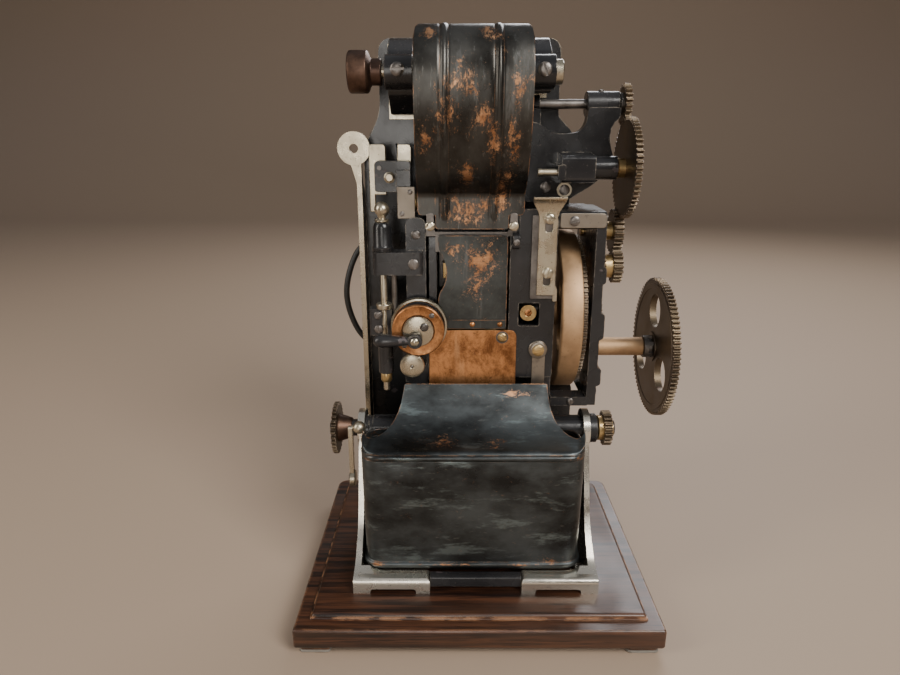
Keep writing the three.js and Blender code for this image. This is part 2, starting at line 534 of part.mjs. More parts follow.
// ---- dial with its crank, and the push button under it ----
function addDial() {
  const { x, z, spindle } = DIAL;
  const place = [x, 0, z];
  const disc = rod('y', 20.5, -42, -38.5, [0, 0], 28);
  add('dial_disc', cut(disc, rod('y', bore(spindle), -50, -30)), enamel, place);
  const ring = join(rod('y', 18.5, -54, -50.5, [0, 0], 28), rod('y', 10, -50.8, -42.2));
  add('copper_ring', cut(ring, rod('y', spindle + PRESSED, -60, -30)), copper, place);
  add('dial_hub', join(rod('y', 11, -57, -54.2, [0, 0], 28), rod('y', spindle, -55, -20)), nickel, place);
  const handle = turned('x', [[-31, 2.4], [-28, 4.2], [-20, 4.6], [-6, 3.2]], [-61.6, -5.4], 12);
  add('dial_crank', join(handle, rod('y', 5, -64.6, -57.2, [-2, -5.4])), steel, place);
  const head = turned('y', [[-50, 8.4], [-49, 9], [-46, 9]], [0, 0], 28);
  add('release_button', join(head, rod('y', BUTTON.spindle, -46.5, -20)), nickel, [BUTTON.x, 0, BUTTON.z]);
}

// ---- short insulated lead that loops out past the left edge behind the back plate ----
function addLead() {
  const rear = PLATE.back + 8;
  const ends = [262, 168];
  const points = [[-60, rear, ends[0]], [-78, rear + 1, ends[0]], [-94, rear - 2, 250],
    [-103, rear - 5, 226], [-103, rear - 5, 204], [-94, rear - 2, 180], [-78, rear + 1, ends[1]],
    [-60, rear, ends[1]]];
  const path = new THREE.CatmullRomCurve3(points.map((p) => new THREE.Vector3(...p)));
  const section = new THREE.Shape().absarc(0, 0, 2.4, 0, 2 * Math.PI);
  const lead = new THREE.ExtrudeGeometry(section,
    { steps: 24, curveSegments: 4, bevelEnabled: false, extrudePath: path });
  add('lead_loop', toSolid(lead), rubber);
  const posts = ends.map((z) => cut(
    block(-60, -44, PLATE.back, PLATE.back + 14, z - 7, z + 7), rod('x', 2.7, -62, -59.6, [rear, z])));
  const bridge = block(-56, -48, PLATE.back, PLATE.back + 6, ends[1], ends[0]);
  add('lead_terminals', join(...posts, bridge), enamel);
}

addPlinth();
addFeet();
addBox();
addPlate();
addSpool();
addHood();
addFrontPlates();
addHead();
addColumn();
addRocker();
addUpperArm();
addBracket();
addGears();
addFlywheel();
addMainDrive();
addLowerShaft();
addLeftStack();
addDial();
addLead();

export default machine;
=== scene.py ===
"""The looks of an antique geared label embosser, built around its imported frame.

Lengths are in millimetres in the machine's own frame: X=0 is near the middle of the plinth, the
front faces -Y and Z=0 is the surface it stands on. Every mesh is turned into metres when it is finished.
"""
import math
import random

import bmesh
import bpy
from mathutils import Matrix, Vector


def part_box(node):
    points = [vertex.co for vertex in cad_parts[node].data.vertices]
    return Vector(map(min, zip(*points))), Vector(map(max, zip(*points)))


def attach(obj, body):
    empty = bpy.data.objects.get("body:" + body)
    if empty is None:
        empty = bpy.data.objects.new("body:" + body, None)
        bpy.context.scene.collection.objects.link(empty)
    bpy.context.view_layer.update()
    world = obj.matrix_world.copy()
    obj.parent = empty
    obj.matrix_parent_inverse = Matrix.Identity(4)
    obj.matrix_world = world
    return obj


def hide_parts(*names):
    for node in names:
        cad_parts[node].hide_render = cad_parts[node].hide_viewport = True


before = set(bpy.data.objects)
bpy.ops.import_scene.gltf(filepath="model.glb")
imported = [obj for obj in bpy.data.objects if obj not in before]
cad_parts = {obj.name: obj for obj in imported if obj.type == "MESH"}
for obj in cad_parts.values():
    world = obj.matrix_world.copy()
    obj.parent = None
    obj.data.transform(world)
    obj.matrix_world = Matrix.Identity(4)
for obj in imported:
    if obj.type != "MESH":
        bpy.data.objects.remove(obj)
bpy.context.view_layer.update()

MM = 0.001
BOARD_LEFT, BOARD_FRONT = -125.5, -132
board_low, board_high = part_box("plinth_board")
TO_ROW = (Matrix.Translation((board_low.x - BOARD_LEFT * MM, board_low.y - BOARD_FRONT * MM, 0))
          @ Matrix.Diagonal((MM, MM, MM, 1)))
ROUND = 48                     # facets of a round piece
SHARP = math.radians(32)       # edges sharper than this stay crisp and take a bevel
DIAL_X, DIAL_Z = -41, 209.5
BUTTON_X, BUTTON_Z = -46, 181.5
random.seed(7)


def machine_box(node):
    """A CAD node's lowest and highest corners in the machine's own millimetres."""
    low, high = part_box(node)
    back = TO_ROW.inverted()
    return back @ low, back @ high


# ---------------------------------------------------------------- camera, light and floor

CAMERA_AT = Vector((-17.3, -498.7, 343))
CAMERA_TILT, CAMERA_PAN = math.radians(72.71), math.radians(0.17)
LENS, SENSOR = 26.4, 36
LIGHTS = (                     # name, place in metres, size, watts and colour
    ("window_right", (0.95, -1.25, 1.35), (0.8, 0.9), 40, (1.0, 0.97, 0.92)),
    ("window_left", (-1.6, -0.7, 0.9), (0.45, 1.3), 16, (1.0, 0.93, 0.84)),
    ("front_glow", (-0.2, -2.0, 0.5), (0.5, 1.2), 9, (1.0, 0.96, 0.90)),
    ("back_rim", (0.6, 1.4, 1.2), (1.2, 0.6), 16, (0.96, 0.97, 1.0)),
)
LIT_POINT = Vector((0, 0, 0.22))


def make_camera():
    data = bpy.data.cameras.new("camera")
    data.lens, data.sensor_width = LENS, SENSOR
    data.clip_start, data.clip_end = 0.01, 50
    camera = bpy.data.objects.new("camera", data)
    bpy.context.scene.collection.objects.link(camera)
    camera.location = TO_ROW @ CAMERA_AT
    camera.rotation_euler = (CAMERA_TILT, 0, CAMERA_PAN)
    bpy.context.scene.camera = camera


def make_floor():
    """A plain floor that sweeps up into the backdrop."""
    near, far, bend, height, reach = -4, 2.2, 1.2, 5, 5
    sweep = [(near, 0), (far, 0)]
    for step in range(1, 17):
        angle = math.pi / 2 * step / 16
        sweep.append((far + bend * math.sin(angle), bend * (1 - math.cos(angle))))
    sweep.append((far + bend, height))
    verts = [(x, y, z) for y, z in sweep for x in (-reach, reach)]
    faces = [(2 * i, 2 * i + 1, 2 * i + 3, 2 * i + 2) for i in range(len(sweep) - 1)]
    mesh = bpy.data.meshes.new("floor")
    mesh.from_pydata(verts, [], faces)
    for face in mesh.polygons:
        face.use_smooth = True
    floor = bpy.data.objects.new("floor", mesh)
    bpy.context.scene.collection.objects.link(floor)
    material = bpy.data.materials.new("floor")
    material.use_nodes = True
    shader = material.node_tree.nodes["Principled BSDF"]
    shader.inputs["Base Color"].default_value = (0.36, 0.27, 0.20, 1)
    shader.inputs["Roughness"].default_value = 0.6
    mesh.materials.append(material)


def make_lights():
    for name, place, size, power, colour in LIGHTS:
        data = bpy.data.lights.new(name, "AREA")
        data.shape, data.size, data.size_y = "RECTANGLE", *size
        data.energy, data.color = power, colour
        light = bpy.data.objects.new(name, data)
        light.location = place
        light.rotation_euler = (LIT_POINT - Vector(place)).to_track_quat("-Z", "Y").to_euler()
        bpy.context.scene.collection.objects.link(light)


def make_world():
    """Soft light that is warm below and pale above."""
    world = bpy.data.worlds.new("world")
    bpy.context.scene.world = world
    world.use_nodes = True
    tree = world.node_tree
    background = tree.nodes["Background"]
    coords = tree.nodes.new("ShaderNodeTexCoord")
    split = tree.nodes.new("ShaderNodeSeparateXYZ")
    ramp = tree.nodes.new("ShaderNodeValToRGB")
    tree.links.new(coords.outputs["Generated"], split.inputs[0])
    tree.links.new(split.outputs["Z"], ramp.inputs["Fac"])
    tree.links.new(ramp.outputs["Color"], background.inputs["Color"])
    ramp.color_ramp.elements[0].color = (0.26, 0.19, 0.14, 1)
    ramp.color_ramp.elements[1].color = (0.92, 0.95, 1.0, 1)
    ramp.color_ramp.elements[1].position = 0.75
    band = ramp.color_ramp.elements.new(0.28)
    band.color = (0.10, 0.08, 0.065, 1)
    background.inputs["Strength"].default_value = 0.34


# ---------------------------------------------------------------- materials

class Graph:
    """A material's nodes, wired by short calls. Coordinates are the piece's own, in metres."""

    def __init__(self, name):
        self.material = bpy.data.materials.new(name)
        self.material.use_nodes = True
        self.tree = self.material.node_tree
        self.shader = self.tree.nodes["Principled BSDF"]
        self.coords = self.tree.nodes.new("ShaderNodeTexCoord").outputs["Object"]

    def node(self, kind, **settings):
        made = self.tree.nodes.new(kind)
        for key, value in settings.items():
            setattr(made, key, value)
        return made

    def link(self, source, target):
        if hasattr(source, "is_output"):
            self.tree.links.new(source, target)
        else:
            target.default_value = source

    def stretched(self, scale):
        mapping = self.node("ShaderNodeMapping")
        self.link(self.coords, mapping.inputs["Vector"])
        mapping.inputs["Scale"].default_value = scale
        return mapping.outputs["Vector"]

    def noise(self, scale, detail=4, rough=0.55, stretch=None, distortion=0.0):
        made = self.node("ShaderNodeTexNoise")
        self.link(self.stretched(stretch) if stretch else self.coords, made.inputs["Vector"])
        made.inputs["Scale"].default_value = scale
        made.inputs["Detail"].default_value = detail
        made.inputs["Roughness"].default_value = rough
        made.inputs["Distortion"].default_value = distortion
        return made.outputs["Fac"]

    def cells(self, scale, output="Distance"):
        made = self.node("ShaderNodeTexVoronoi")
        self.link(self.coords, made.inputs["Vector"])
        made.inputs["Scale"].default_value = scale
        return made.outputs[output]

    def span(self, value, low, high, to_low=0.0, to_high=1.0):
        made = self.node("ShaderNodeMapRange", interpolation_type="SMOOTHSTEP")
        self.link(value, made.inputs["Value"])
        for key, amount in (("From Min", low), ("From Max", high), ("To Min", to_low), ("To Max", to_high)):
            made.inputs[key].default_value = amount
        return made.outputs["Result"]

    def math(self, operation, first, second=0.0, clamp=True):
        made = self.node("ShaderNodeMath", operation=operation)
        made.use_clamp = clamp and operation in ("ADD", "SUBTRACT")
        self.link(first, made.inputs[0])
        self.link(second, made.inputs[1])
        return made.outputs[0]

    def mix(self, share, first, second):
        made = self.node("ShaderNodeMix", data_type="RGBA")
        self.link(share, made.inputs["Factor"])
        for value, target in ((first, made.inputs["A"]), (second, made.inputs["B"])):
            self.link((*value, 1) if isinstance(value, tuple) else value, target)
        return made.outputs["Result"]

    def spots(self, places):
        """1 in the middle of each place, 0 at its edge. A place is (x, z, half width, half height)."""
        total = None
        along_x, _, along_z = self.split()
        for x, z, wide, high in places:
            centre = TO_ROW @ Vector((x, 0, z))
            across = self.math("DIVIDE", self.math("SUBTRACT", along_x, centre.x, False), wide * MM, False)
            up = self.math("DIVIDE", self.math("SUBTRACT", along_z, centre.z, False), high * MM, False)
            away = self.math("SQRT", self.math("ADD", self.math("MULTIPLY", across, across, False),
                                               self.math("MULTIPLY", up, up, False), False))
            near = self.span(away, 0.0, 1.0, 1.0, 0.0)
            total = near if total is None else self.math("MAXIMUM", total, near)
        return total

    def edges(self, radius=0.0012, low=0.015, high=0.12):
        """1 on the worn outer edges and 0 on the flats."""
        bevel = self.node("ShaderNodeBevel", samples=4)
        bevel.inputs["Radius"].default_value = radius
        plain = self.node("ShaderNodeNewGeometry")
        dot = self.node("ShaderNodeVectorMath", operation="DOT_PRODUCT")
        self.link(bevel.outputs["Normal"], dot.inputs[0])
        self.link(plain.outputs["Normal"], dot.inputs[1])
        return self.span(self.math("SUBTRACT", 1.0, dot.outputs["Value"]), low, high)

    def split(self):
        made = self.node("ShaderNodeSeparateXYZ")
        self.link(self.coords, made.inputs[0])
        return made.outputs

    def bump(self, height, strength, distance=0.0004):
        made = self.node("ShaderNodeBump")
        self.link(height, made.inputs["Height"])
        made.inputs["Strength"].default_value = strength
        made.inputs["Distance"].default_value = distance
        self.link(made.outputs["Normal"], self.shader.inputs["Normal"])

    def finish(self, colour, roughness, metallic=0.0, coat=0.0, coat_rough=0.1):
        self.link((*colour, 1) if isinstance(colour, tuple) else colour, self.shader.inputs["Base Color"])
        self.link(roughness, self.shader.inputs["Roughness"])
        self.link(metallic, self.shader.inputs["Metallic"])
        self.shader.inputs["Coat Weight"].default_value = coat
        self.shader.inputs["Coat Roughness"].default_value = coat_rough
        return self.material


def enamel_material():
    """Black japan over iron: glossy, slightly rippled, chipped to mauve grey and bare metal on its edges."""
    g = Graph("black_enamel")
    patches = g.noise(55, 6, 0.62)
    chips = g.span(patches, 0.655, 0.685)
    edge = g.edges(0.0011, 0.03, 0.14)
    worn = g.math("MULTIPLY", edge, g.span(g.noise(160, 5, 0.6), 0.42, 0.62))
    specks = g.span(g.noise(900, 2, 0.5), 0.70, 0.74)
    base = g.mix(g.span(g.noise(18, 3), 0.35, 0.7), (0.009, 0.009, 0.010), (0.022, 0.021, 0.022))
    dusty = g.mix(g.math("MULTIPLY", specks, 0.5), base, (0.16, 0.13, 0.11))
    chipped = g.mix(g.math("MULTIPLY", chips, 0.75), dusty, (0.085, 0.066, 0.068))
    colour = g.mix(worn, chipped, (0.34, 0.30, 0.25))
    smooth = g.span(g.noise(30, 4), 0.3, 0.7, 0.17, 0.34)
    rough = g.math("MAXIMUM", smooth, g.math("MULTIPLY", g.math("MAXIMUM", chips, worn), 0.48))
    relief = g.math("SUBTRACT", g.noise(240, 3), g.math("MULTIPLY", chips, 0.35))
    g.bump(relief, 0.14, 0.0006)
    return g.finish(colour, rough, g.math("MULTIPLY", worn, 0.85))


def paint_over_copper(name, places, wear=0.0, grain=(1, 1, 0.55), scuff_and_sheen_grain=(1, 1, 0.12),
                      scuff_and_sheen_colour=(0.16, 0.165, 0.16), scuff_and_sheen_span=(0.56, 0.70), scuff_and_sheen_share=0.7,
                      blacks=((0.028, 0.026, 0.023), (0.088, 0.086, 0.080))):
    """Thin black oxide over copper, rubbed through in speckled patches at the places and on its edges; its
    lighter streaks are partly scuffs and partly painted sheen.
    """
    g = Graph(name)
    patches = g.noise(150, 12, 0.84, grain, 0.35)
    pull = g.math("MULTIPLY", g.spots(places), 0.17)
    reach = g.math("ADD", patches, pull)
    bare = g.span(reach, 0.635 - wear, 0.690 - wear)
    flecks = g.span(g.noise(720, 6, 0.8, grain), 0.55, 0.63)
    near_patch = g.span(reach, 0.53 - wear, 0.65 - wear)
    edge = g.math("MULTIPLY", g.edges(0.0012, 0.04, 0.16), g.span(g.noise(120, 4), 0.40, 0.58))
    through = g.math("MAXIMUM", g.math("MAXIMUM", bare, g.math("MULTIPLY", flecks, near_patch)), edge)
    cloud = g.noise(24, 6, 0.62, grain)
    black = g.mix(g.span(cloud, 0.34, 0.68), *blacks)
    # Lighter streaks: partly real scuffs, partly painted sheen standing in for light reflected off the
    # paint.
    scuffs_and_sheen = g.span(g.noise(70, 8, 0.72, scuff_and_sheen_grain), *scuff_and_sheen_span)
    scuffed_and_sheened = g.mix(g.math("MULTIPLY", scuffs_and_sheen, scuff_and_sheen_share), black, scuff_and_sheen_colour)
    hairlines = g.math("MULTIPLY", g.span(g.noise(420, 3, 0.6, scuff_and_sheen_grain), 0.64, 0.72), 0.25)
    lined = g.mix(hairlines, scuffed_and_sheened, (0.24, 0.235, 0.22))
    metal = g.mix(g.span(g.noise(90, 6, 0.7), 0.3, 0.7), (0.27, 0.115, 0.048), (0.60, 0.33, 0.175))
    colour = g.mix(through, lined, metal)
    rough = g.mix(through, g.mix(g.span(cloud, 0.3, 0.7), (0.25,) * 3, (0.40,) * 3), (0.42, 0.42, 0.42))
    g.bump(g.math("SUBTRACT", g.noise(300, 3), through), 0.16, 0.00025)
    return g.finish(colour, rough, 0.88)


def copper_material():
    """Bare copper sheet with brown tarnish, dark specks and fine scratches."""
    g = Graph("bare_copper")
    stain = g.noise(48, 10, 0.80, (1, 1, 0.8), 0.3)
    base = g.mix(g.span(stain, 0.36, 0.62), (0.16, 0.060, 0.020), (0.60, 0.28, 0.115))
    dark = g.math("MULTIPLY", g.span(g.noise(210, 9, 0.82), 0.55, 0.66), 0.75)
    tarnished = g.mix(dark, base, (0.10, 0.042, 0.020))
    pale = g.math("MULTIPLY", g.span(g.noise(75, 3, 0.6, (1, 1, 0.2)), 0.60, 0.74), 0.35)
    colour = g.mix(pale, tarnished, (0.80, 0.46, 0.24))
    g.bump(g.noise(500, 4, 0.6, (0.2, 1, 1)), 0.12, 0.0002)
    return g.finish(colour, g.span(stain, 0.3, 0.7, 0.48, 0.32), 0.9)


def nickel_material(name="old_nickel", tint=(0.47, 0.415, 0.315), dark=(0.18, 0.15, 0.11),
                    rough=(0.20, 0.38)):
    """Warm old nickel plate: cloudy, pitted, with fine brushed lines."""
    g = Graph(name)
    cloud = g.noise(45, 6, 0.65)
    pits = g.span(g.noise(700, 3, 0.5), 0.66, 0.72)
    stain = g.math("MULTIPLY", g.span(g.noise(85, 6, 0.7), 0.56, 0.72), 0.55)
    colour = g.mix(stain, tint, dark)
    pitted = g.mix(g.math("MULTIPLY", pits, 0.7), colour, tuple(c * 0.4 for c in dark))
    g.bump(g.math("SUBTRACT", g.noise(900, 2, 0.5, (1, 1, 0.08)), g.math("MULTIPLY", pits, 0.6)), 0.10,
           0.0002)
    return g.finish(pitted, g.span(cloud, 0.3, 0.7, *rough), 0.95)


def gear_material():
    """Brown oiled gear steel whose worn edges and tooth tips shine."""
    g = Graph("gear_steel")
    cloud = g.noise(40, 6, 0.65)
    base = g.mix(g.span(cloud, 0.32, 0.68), (0.075, 0.054, 0.036), (0.165, 0.125, 0.080))
    rust = g.math("MULTIPLY", g.span(g.noise(120, 5, 0.7), 0.58, 0.70), 0.6)
    stained = g.mix(rust, base, (0.13, 0.070, 0.045))
    edge = g.edges(0.0006, 0.03, 0.16)
    colour = g.mix(g.math("MULTIPLY", edge, 0.85), stained, (0.50, 0.40, 0.34))
    g.bump(g.noise(420, 4), 0.15, 0.0002)
    return g.finish(colour, g.span(cloud, 0.3, 0.7, 0.34, 0.52), 0.82)


def metal_material(name, light, dark, rough, scale=50, speckle=0.3, lines=(1, 1, 1)):
    """A plain aged metal: two close tones, dark specks and a fine grain."""
    g = Graph(name)
    cloud = g.noise(scale, 6, 0.65)
    base = g.mix(g.span(cloud, 0.3, 0.7), dark, light)
    specks = g.math("MULTIPLY", g.span(g.noise(420, 4, 0.6), 0.60, 0.70), speckle)
    spotted = g.mix(specks, base, tuple(c * 0.35 for c in dark))
    edge = g.math("MULTIPLY", g.edges(0.0008, 0.04, 0.18), 0.5)
    colour = g.mix(edge, spotted, tuple(min(1, c * 1.5) for c in light))
    g.bump(g.noise(700, 3, 0.5, lines), 0.12, 0.0002)
    return g.finish(colour, g.span(cloud, 0.3, 0.7, *rough), 0.9)


def wood_material():
    """Dark varnished hardwood with long reddish streaks along X and rubbed edges."""
    g = Graph("varnished_hardwood")
    streak = g.noise(210, 8, 0.66, (0.04, 1, 1), 0.3)
    broad = g.noise(38, 3, 0.5, (0.10, 1, 1))
    pores = g.span(g.noise(900, 3, 0.6, (0.035, 1, 1)), 0.56, 0.66)
    base = g.mix(g.span(streak, 0.40, 0.64), (0.0085, 0.0040, 0.0028), (0.080, 0.030, 0.014))
    warm = g.mix(g.math("MULTIPLY", g.span(broad, 0.46, 0.66), 0.55), base, (0.090, 0.036, 0.016))
    porous = g.mix(g.math("MULTIPLY", pores, 0.7), warm, (0.004, 0.002, 0.002))
    edge = g.math("MULTIPLY", g.edges(0.0026, 0.02, 0.14),
                  g.span(g.noise(95, 6, 0.7, (0.4, 1, 1)), 0.44, 0.56))
    colour = g.mix(g.math("MULTIPLY", edge, 0.85), porous, (0.40, 0.20, 0.10))
    g.bump(g.math("SUBTRACT", g.noise(26, 2), g.math("MULTIPLY", pores, 0.25)), 0.10, 0.0005)
    return g.finish(colour, g.span(g.noise(22, 4), 0.3, 0.7, 0.30, 0.46), 0.0, coat=0.3, coat_rough=0.16)


def soft_material(name, light, dark, scale, rough, strength):
    """Felt, rubber or paper: a matt, mottled surface."""
    g = Graph(name)
    colour = g.mix(g.noise(scale, 6, 0.7), dark, light)
    g.bump(g.noise(scale * 6, 4, 0.7), strength, 0.0003)
    return g.finish(colour, rough)


ENAMEL = enamel_material()
HOOD_WEAR = ((-6, 292, 30, 20), (-6, 292, 30, 20), (15, 296, 12, 19), (-8, 316, 12, 15), (9, 336, 9, 27),
             (-33, 341, 11, 17), (-12, 375, 20, 20), (21, 338, 10, 24), (24, 372, 11, 19),
             (-22, 355, 15, 19), (18, 312, 11, 15), (2, 352, 15, 17), (-30, 400, 10, 8), (5, 400, 14, 9))
BOX_WEAR = ((52, 45, 11, 9), (-24, 135, 22, 4.5), (12, 134, 17, 4), (-72, 127, 16, 4.5), (68, 127, 14, 4.5),
            (-72, 42, 12, 4), (30, 160, 22, 5), (-20, 42, 40, 2), (35, 42, 30, 2))
GATE_WEAR = ((2, 257, 27, 23), (0, 240, 15, 19), (-16, 263, 12, 11))
# The lighter streaks are partly scuffs and partly painted sheen: upright steel-grey ones on the hood,
# teal-grey ones along X on the box.
WORN_HOOD = paint_over_copper("worn_hood_paint", HOOD_WEAR)
WORN_BOX = paint_over_copper("worn_box_paint", BOX_WEAR, -0.012, (0.6, 1, 1), (0.26, 1, 1),
                             (0.21, 0.26, 0.265), (0.535, 0.66), 0.6,
                             ((0.024, 0.0245, 0.024), (0.092, 0.104, 0.108)))
WORN_GATE = paint_over_copper("worn_gate_paint", GATE_WEAR, 0.0, (1, 1, 1),
                              blacks=((0.030, 0.032, 0.031), (0.080, 0.086, 0.084)))
# A lighter copy of the nickel for the foot castings: the paler tint is painted light, standing in for the
# strong light on their tops.
NICKEL_PAINTED_LIT = nickel_material("nickel_painted_lit", (0.70, 0.65, 0.56), (0.33, 0.29, 0.23), (0.17, 0.32))
COPPER = copper_material()
NICKEL = nickel_material()
GREY_NICKEL = nickel_material("grey_nickel", (0.26, 0.225, 0.185), (0.11, 0.095, 0.08), (0.34, 0.5))
GEAR = gear_material()
BRONZE = metal_material("tan_bronze", (0.56, 0.37, 0.21), (0.40, 0.255, 0.145), (0.52, 0.66))
BRASS = metal_material("aged_brass", (0.58, 0.42, 0.20), (0.33, 0.22, 0.10), (0.24, 0.42))
STEEL = metal_material("dark_steel", (0.22, 0.20, 0.185), (0.085, 0.078, 0.072), (0.28, 0.45))
PATINA = metal_material("brown_patina", (0.15, 0.088, 0.060), (0.060, 0.036, 0.028), (0.34, 0.52),
                        speckle=0.6)
WOOD = wood_material()
FELT = soft_material("felt", (0.27, 0.245, 0.21), (0.15, 0.13, 0.11), 300, 0.95, 0.6)
RUBBER = soft_material("black_rubber", (0.022, 0.021, 0.020), (0.010, 0.010, 0.010), 120, 0.42, 0.15)
PAPER = soft_material("label_stock", (0.78, 0.72, 0.58), (0.64, 0.56, 0.42), 60, 0.8, 0.1)


# ---------------------------------------------------------------- solids, in machine millimetres

PLACES = {"x": lambda a, b, along: (along, a, b),      # outlines are drawn in the YZ plane,
          "y": lambda a, b, along: (a, along, b),      # in the XZ plane
          "z": lambda a, b, along: (a, b, along)}      # and in the XY plane


def closed(bm):
    bmesh.ops.remove_doubles(bm, verts=bm.verts, dist=1e-4)
    bmesh.ops.recalc_face_normals(bm, faces=bm.faces)
    return bm


def rounded(points, corner=0.0, steps=6):
    """An outline whose corners are rounded. A point's own radius, if it has one, is its third number."""
    out = []
    count = len(points)
    for i, point in enumerate(points):
        here = Vector(point[:2])
        radius = point[2] if len(point) > 2 else corner
        if not radius:
            out.append(tuple(here))
            continue
        before, after = Vector(points[i - 1][:2]), Vector(points[(i + 1) % count][:2])
        start = here + (before - here).normalized() * radius
        end = here + (after - here).normalized() * radius
        for step in range(steps + 1):
            t = step / steps
            out.append(tuple(start * (1 - t) ** 2 + here * 2 * t * (1 - t) + end * t * t))
    return out


def prism(axis, points, low, high):
    bm = bmesh.new()
    place = PLACES[axis]
    near = [bm.verts.new(place(a, b, low)) for a, b, *_ in points]
    far = [bm.verts.new(place(a, b, high)) for a, b, *_ in points]
    bm.faces.new(near)
    bm.faces.new(far)
    for i in range(len(points)):
        j = (i + 1) % len(points)
        bm.faces.new((near[i], near[j], far[j], far[i]))
    return closed(bm)


def block(x0, x1, y0, y1, z0, z1):
    return prism("z", [(x0, y0), (x1, y0), (x1, y1), (x0, y1)], z0, z1)


def loft(rings, cap=True):
    """Skins a list of rings, each the same number of 3-D points, and caps its two ends."""
    bm = bmesh.new()
    made = [[bm.verts.new(p) for p in ring] for ring in rings]
    for low, high in zip(made, made[1:]):
        for i in range(len(low)):
            j = (i + 1) % len(low)
            bm.faces.new((low[i], low[j], high[j], high[i]))
    if cap:
        bm.faces.new(made[0])
        bm.faces.new(made[-1])
    return closed(bm)


def spun(axis, rings, centre=(0, 0), sides=ROUND, hollow=False):
    """A turned piece: rings are (distance along the axis, radius). Hollow ones close on themselves."""
    bm = bmesh.new()
    place = PLACES[axis]
    circle = [(math.cos(2 * math.pi * i / sides), math.sin(2 * math.pi * i / sides)) for i in range(sides)]
    loops = [[bm.verts.new(place(centre[0] + r * c, centre[1] + r * s, along)) for c, s in circle]
             for along, r in rings]
    pairs = list(zip(loops, loops[1:]))
    if hollow:
        pairs.append((loops[-1], loops[0]))
    for low, high in pairs:
        for i in range(sides):
            j = (i + 1) % sides
            bm.faces.new((low[i], low[j], high[j], high[i]))
    if not hollow:
        bm.faces.new(loops[0])
        bm.faces.new(loops[-1])
    return closed(bm)


def rod(axis, radius, low, high, centre=(0, 0), sides=ROUND):
    return spun(axis, [(low, radius), (high, radius)], centre, sides)


def washer(axis, outer, inner, low, high, centre=(0, 0), sides=ROUND):
    rings = [(low, inner), (low, outer), (high, outer), (high, inner)]
    return spun(axis, rings, centre, sides, hollow=True)


def ball(radius, centre, sides=32):
    bm = bmesh.new()
    bmesh.ops.create_uvsphere(bm, u_segments=sides, v_segments=sides // 2, radius=radius)
    bmesh.ops.translate(bm, verts=bm.verts, vec=centre)
    return closed(bm)


def together(*parts):
    """Separate solids in one mesh, left as they are."""
    whole = bmesh.new()
    for part in parts:
        mesh = bpy.data.meshes.new("part")
        part.to_mesh(mesh)
        whole.from_mesh(mesh)
        bpy.data.meshes.remove(mesh)
    return whole


def _as_object(bm):
    mesh = bpy.data.meshes.new("boolean")
    bm.to_mesh(mesh)
    made = bpy.data.objects.new("boolean", mesh)
    bpy.context.scene.collection.objects.link(made)
    return made


def boolean(operation, whole, tools):
    for tool in tools:
        first, second = _as_object(whole), _as_object(tool)
        modifier = first.modifiers.new("boolean", "BOOLEAN")
        modifier.operation, modifier.object, modifier.solver = operation, second, "EXACT"
        graph = bpy.context.evaluated_depsgraph_get()
        result = bpy.data.meshes.new_from_object(first.evaluated_get(graph))
        whole = bmesh.new()
        whole.from_mesh(result)
        bmesh.ops.remove_doubles(whole, verts=whole.verts, dist=1e-4)
        bmesh.ops.dissolve_degenerate(whole, dist=1e-4, edges=whole.edges)
        for used in (first, second):
            data = used.data
            bpy.data.objects.remove(used)
            bpy.data.meshes.remove(data)
        bpy.data.meshes.remove(result)
    return whole


def cut(whole, *tools):
    return boolean("DIFFERENCE", whole, tools)


def join(whole, *others):
    return boolean("UNION", whole, others)


def piece(name, bm, material, body="root", replaces=(), bevel=0.4, segments=2, sharp=SHARP, rim=None):
    """Turns a solid into a finished piece on its body. rim is a second material for a bevel's own faces."""
    for face in bm.faces:
        face.smooth = True
    for edge in bm.edges:
        if len(edge.link_faces) == 2 and edge.calc_face_angle(0) > sharp:
            edge.smooth = False
    mesh = bpy.data.meshes.new(name)
    bm.transform(TO_ROW)
    bm.to_mesh(mesh)
    bm.free()
    made = bpy.data.objects.new(name, mesh)
    bpy.context.scene.collection.objects.link(made)
    mesh.materials.append(material)
    if rim:
        mesh.materials.append(rim)
    if bevel:
        modifier = made.modifiers.new("bevel", "BEVEL")
        modifier.width = bevel * MM
        modifier.segments = segments
        modifier.limit_method = "ANGLE"
        modifier.angle_limit = sharp
        modifier.use_clamp_overlap = True
        modifier.harden_normals = True
        if rim:
            modifier.material = 1
    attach(made, body)
    if replaces:
        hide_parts(*((replaces,) if isinstance(replaces, str) else replaces))
    return made


def sheet_line(points, steps=8):
    """A smooth line through points, by Catmull-Rom spans."""
    line = []
    padded = [points[0], *points, points[-1]]
    for a, b, c, d in zip(padded, padded[1:], padded[2:], padded[3:]):
        for step in range(steps):
            t = step / steps
            line.append(tuple(0.5 * (2 * q + (r - p) * t + (2 * p - 5 * q + 4 * r - s) * t * t
                                     + (3 * q - p - 3 * r + s) * t ** 3)
                              for p, q, r, s in zip(a, b, c, d)))
    line.append(tuple(points[-1]))
    return line


def walker(line):
    """A line's length, and a function giving the point and the direction at a distance along it."""
    lengths = [0.0]
    for (y0, z0), (y1, z1) in zip(line, line[1:]):
        lengths.append(lengths[-1] + math.hypot(y1 - y0, z1 - z0))

    def on_line(s):
        for i in range(1, len(line)):
            if s <= lengths[i] or i == len(line) - 1:
                t = (s - lengths[i - 1]) / (lengths[i] - lengths[i - 1])
                (y0, z0), (y1, z1) = line[i - 1], line[i]
                size = math.hypot(y1 - y0, z1 - z0)
                return (y0 + (y1 - y0) * t, z0 + (z1 - z0) * t), ((y1 - y0) / size, (z1 - z0) / size)
    return lengths[-1], on_line


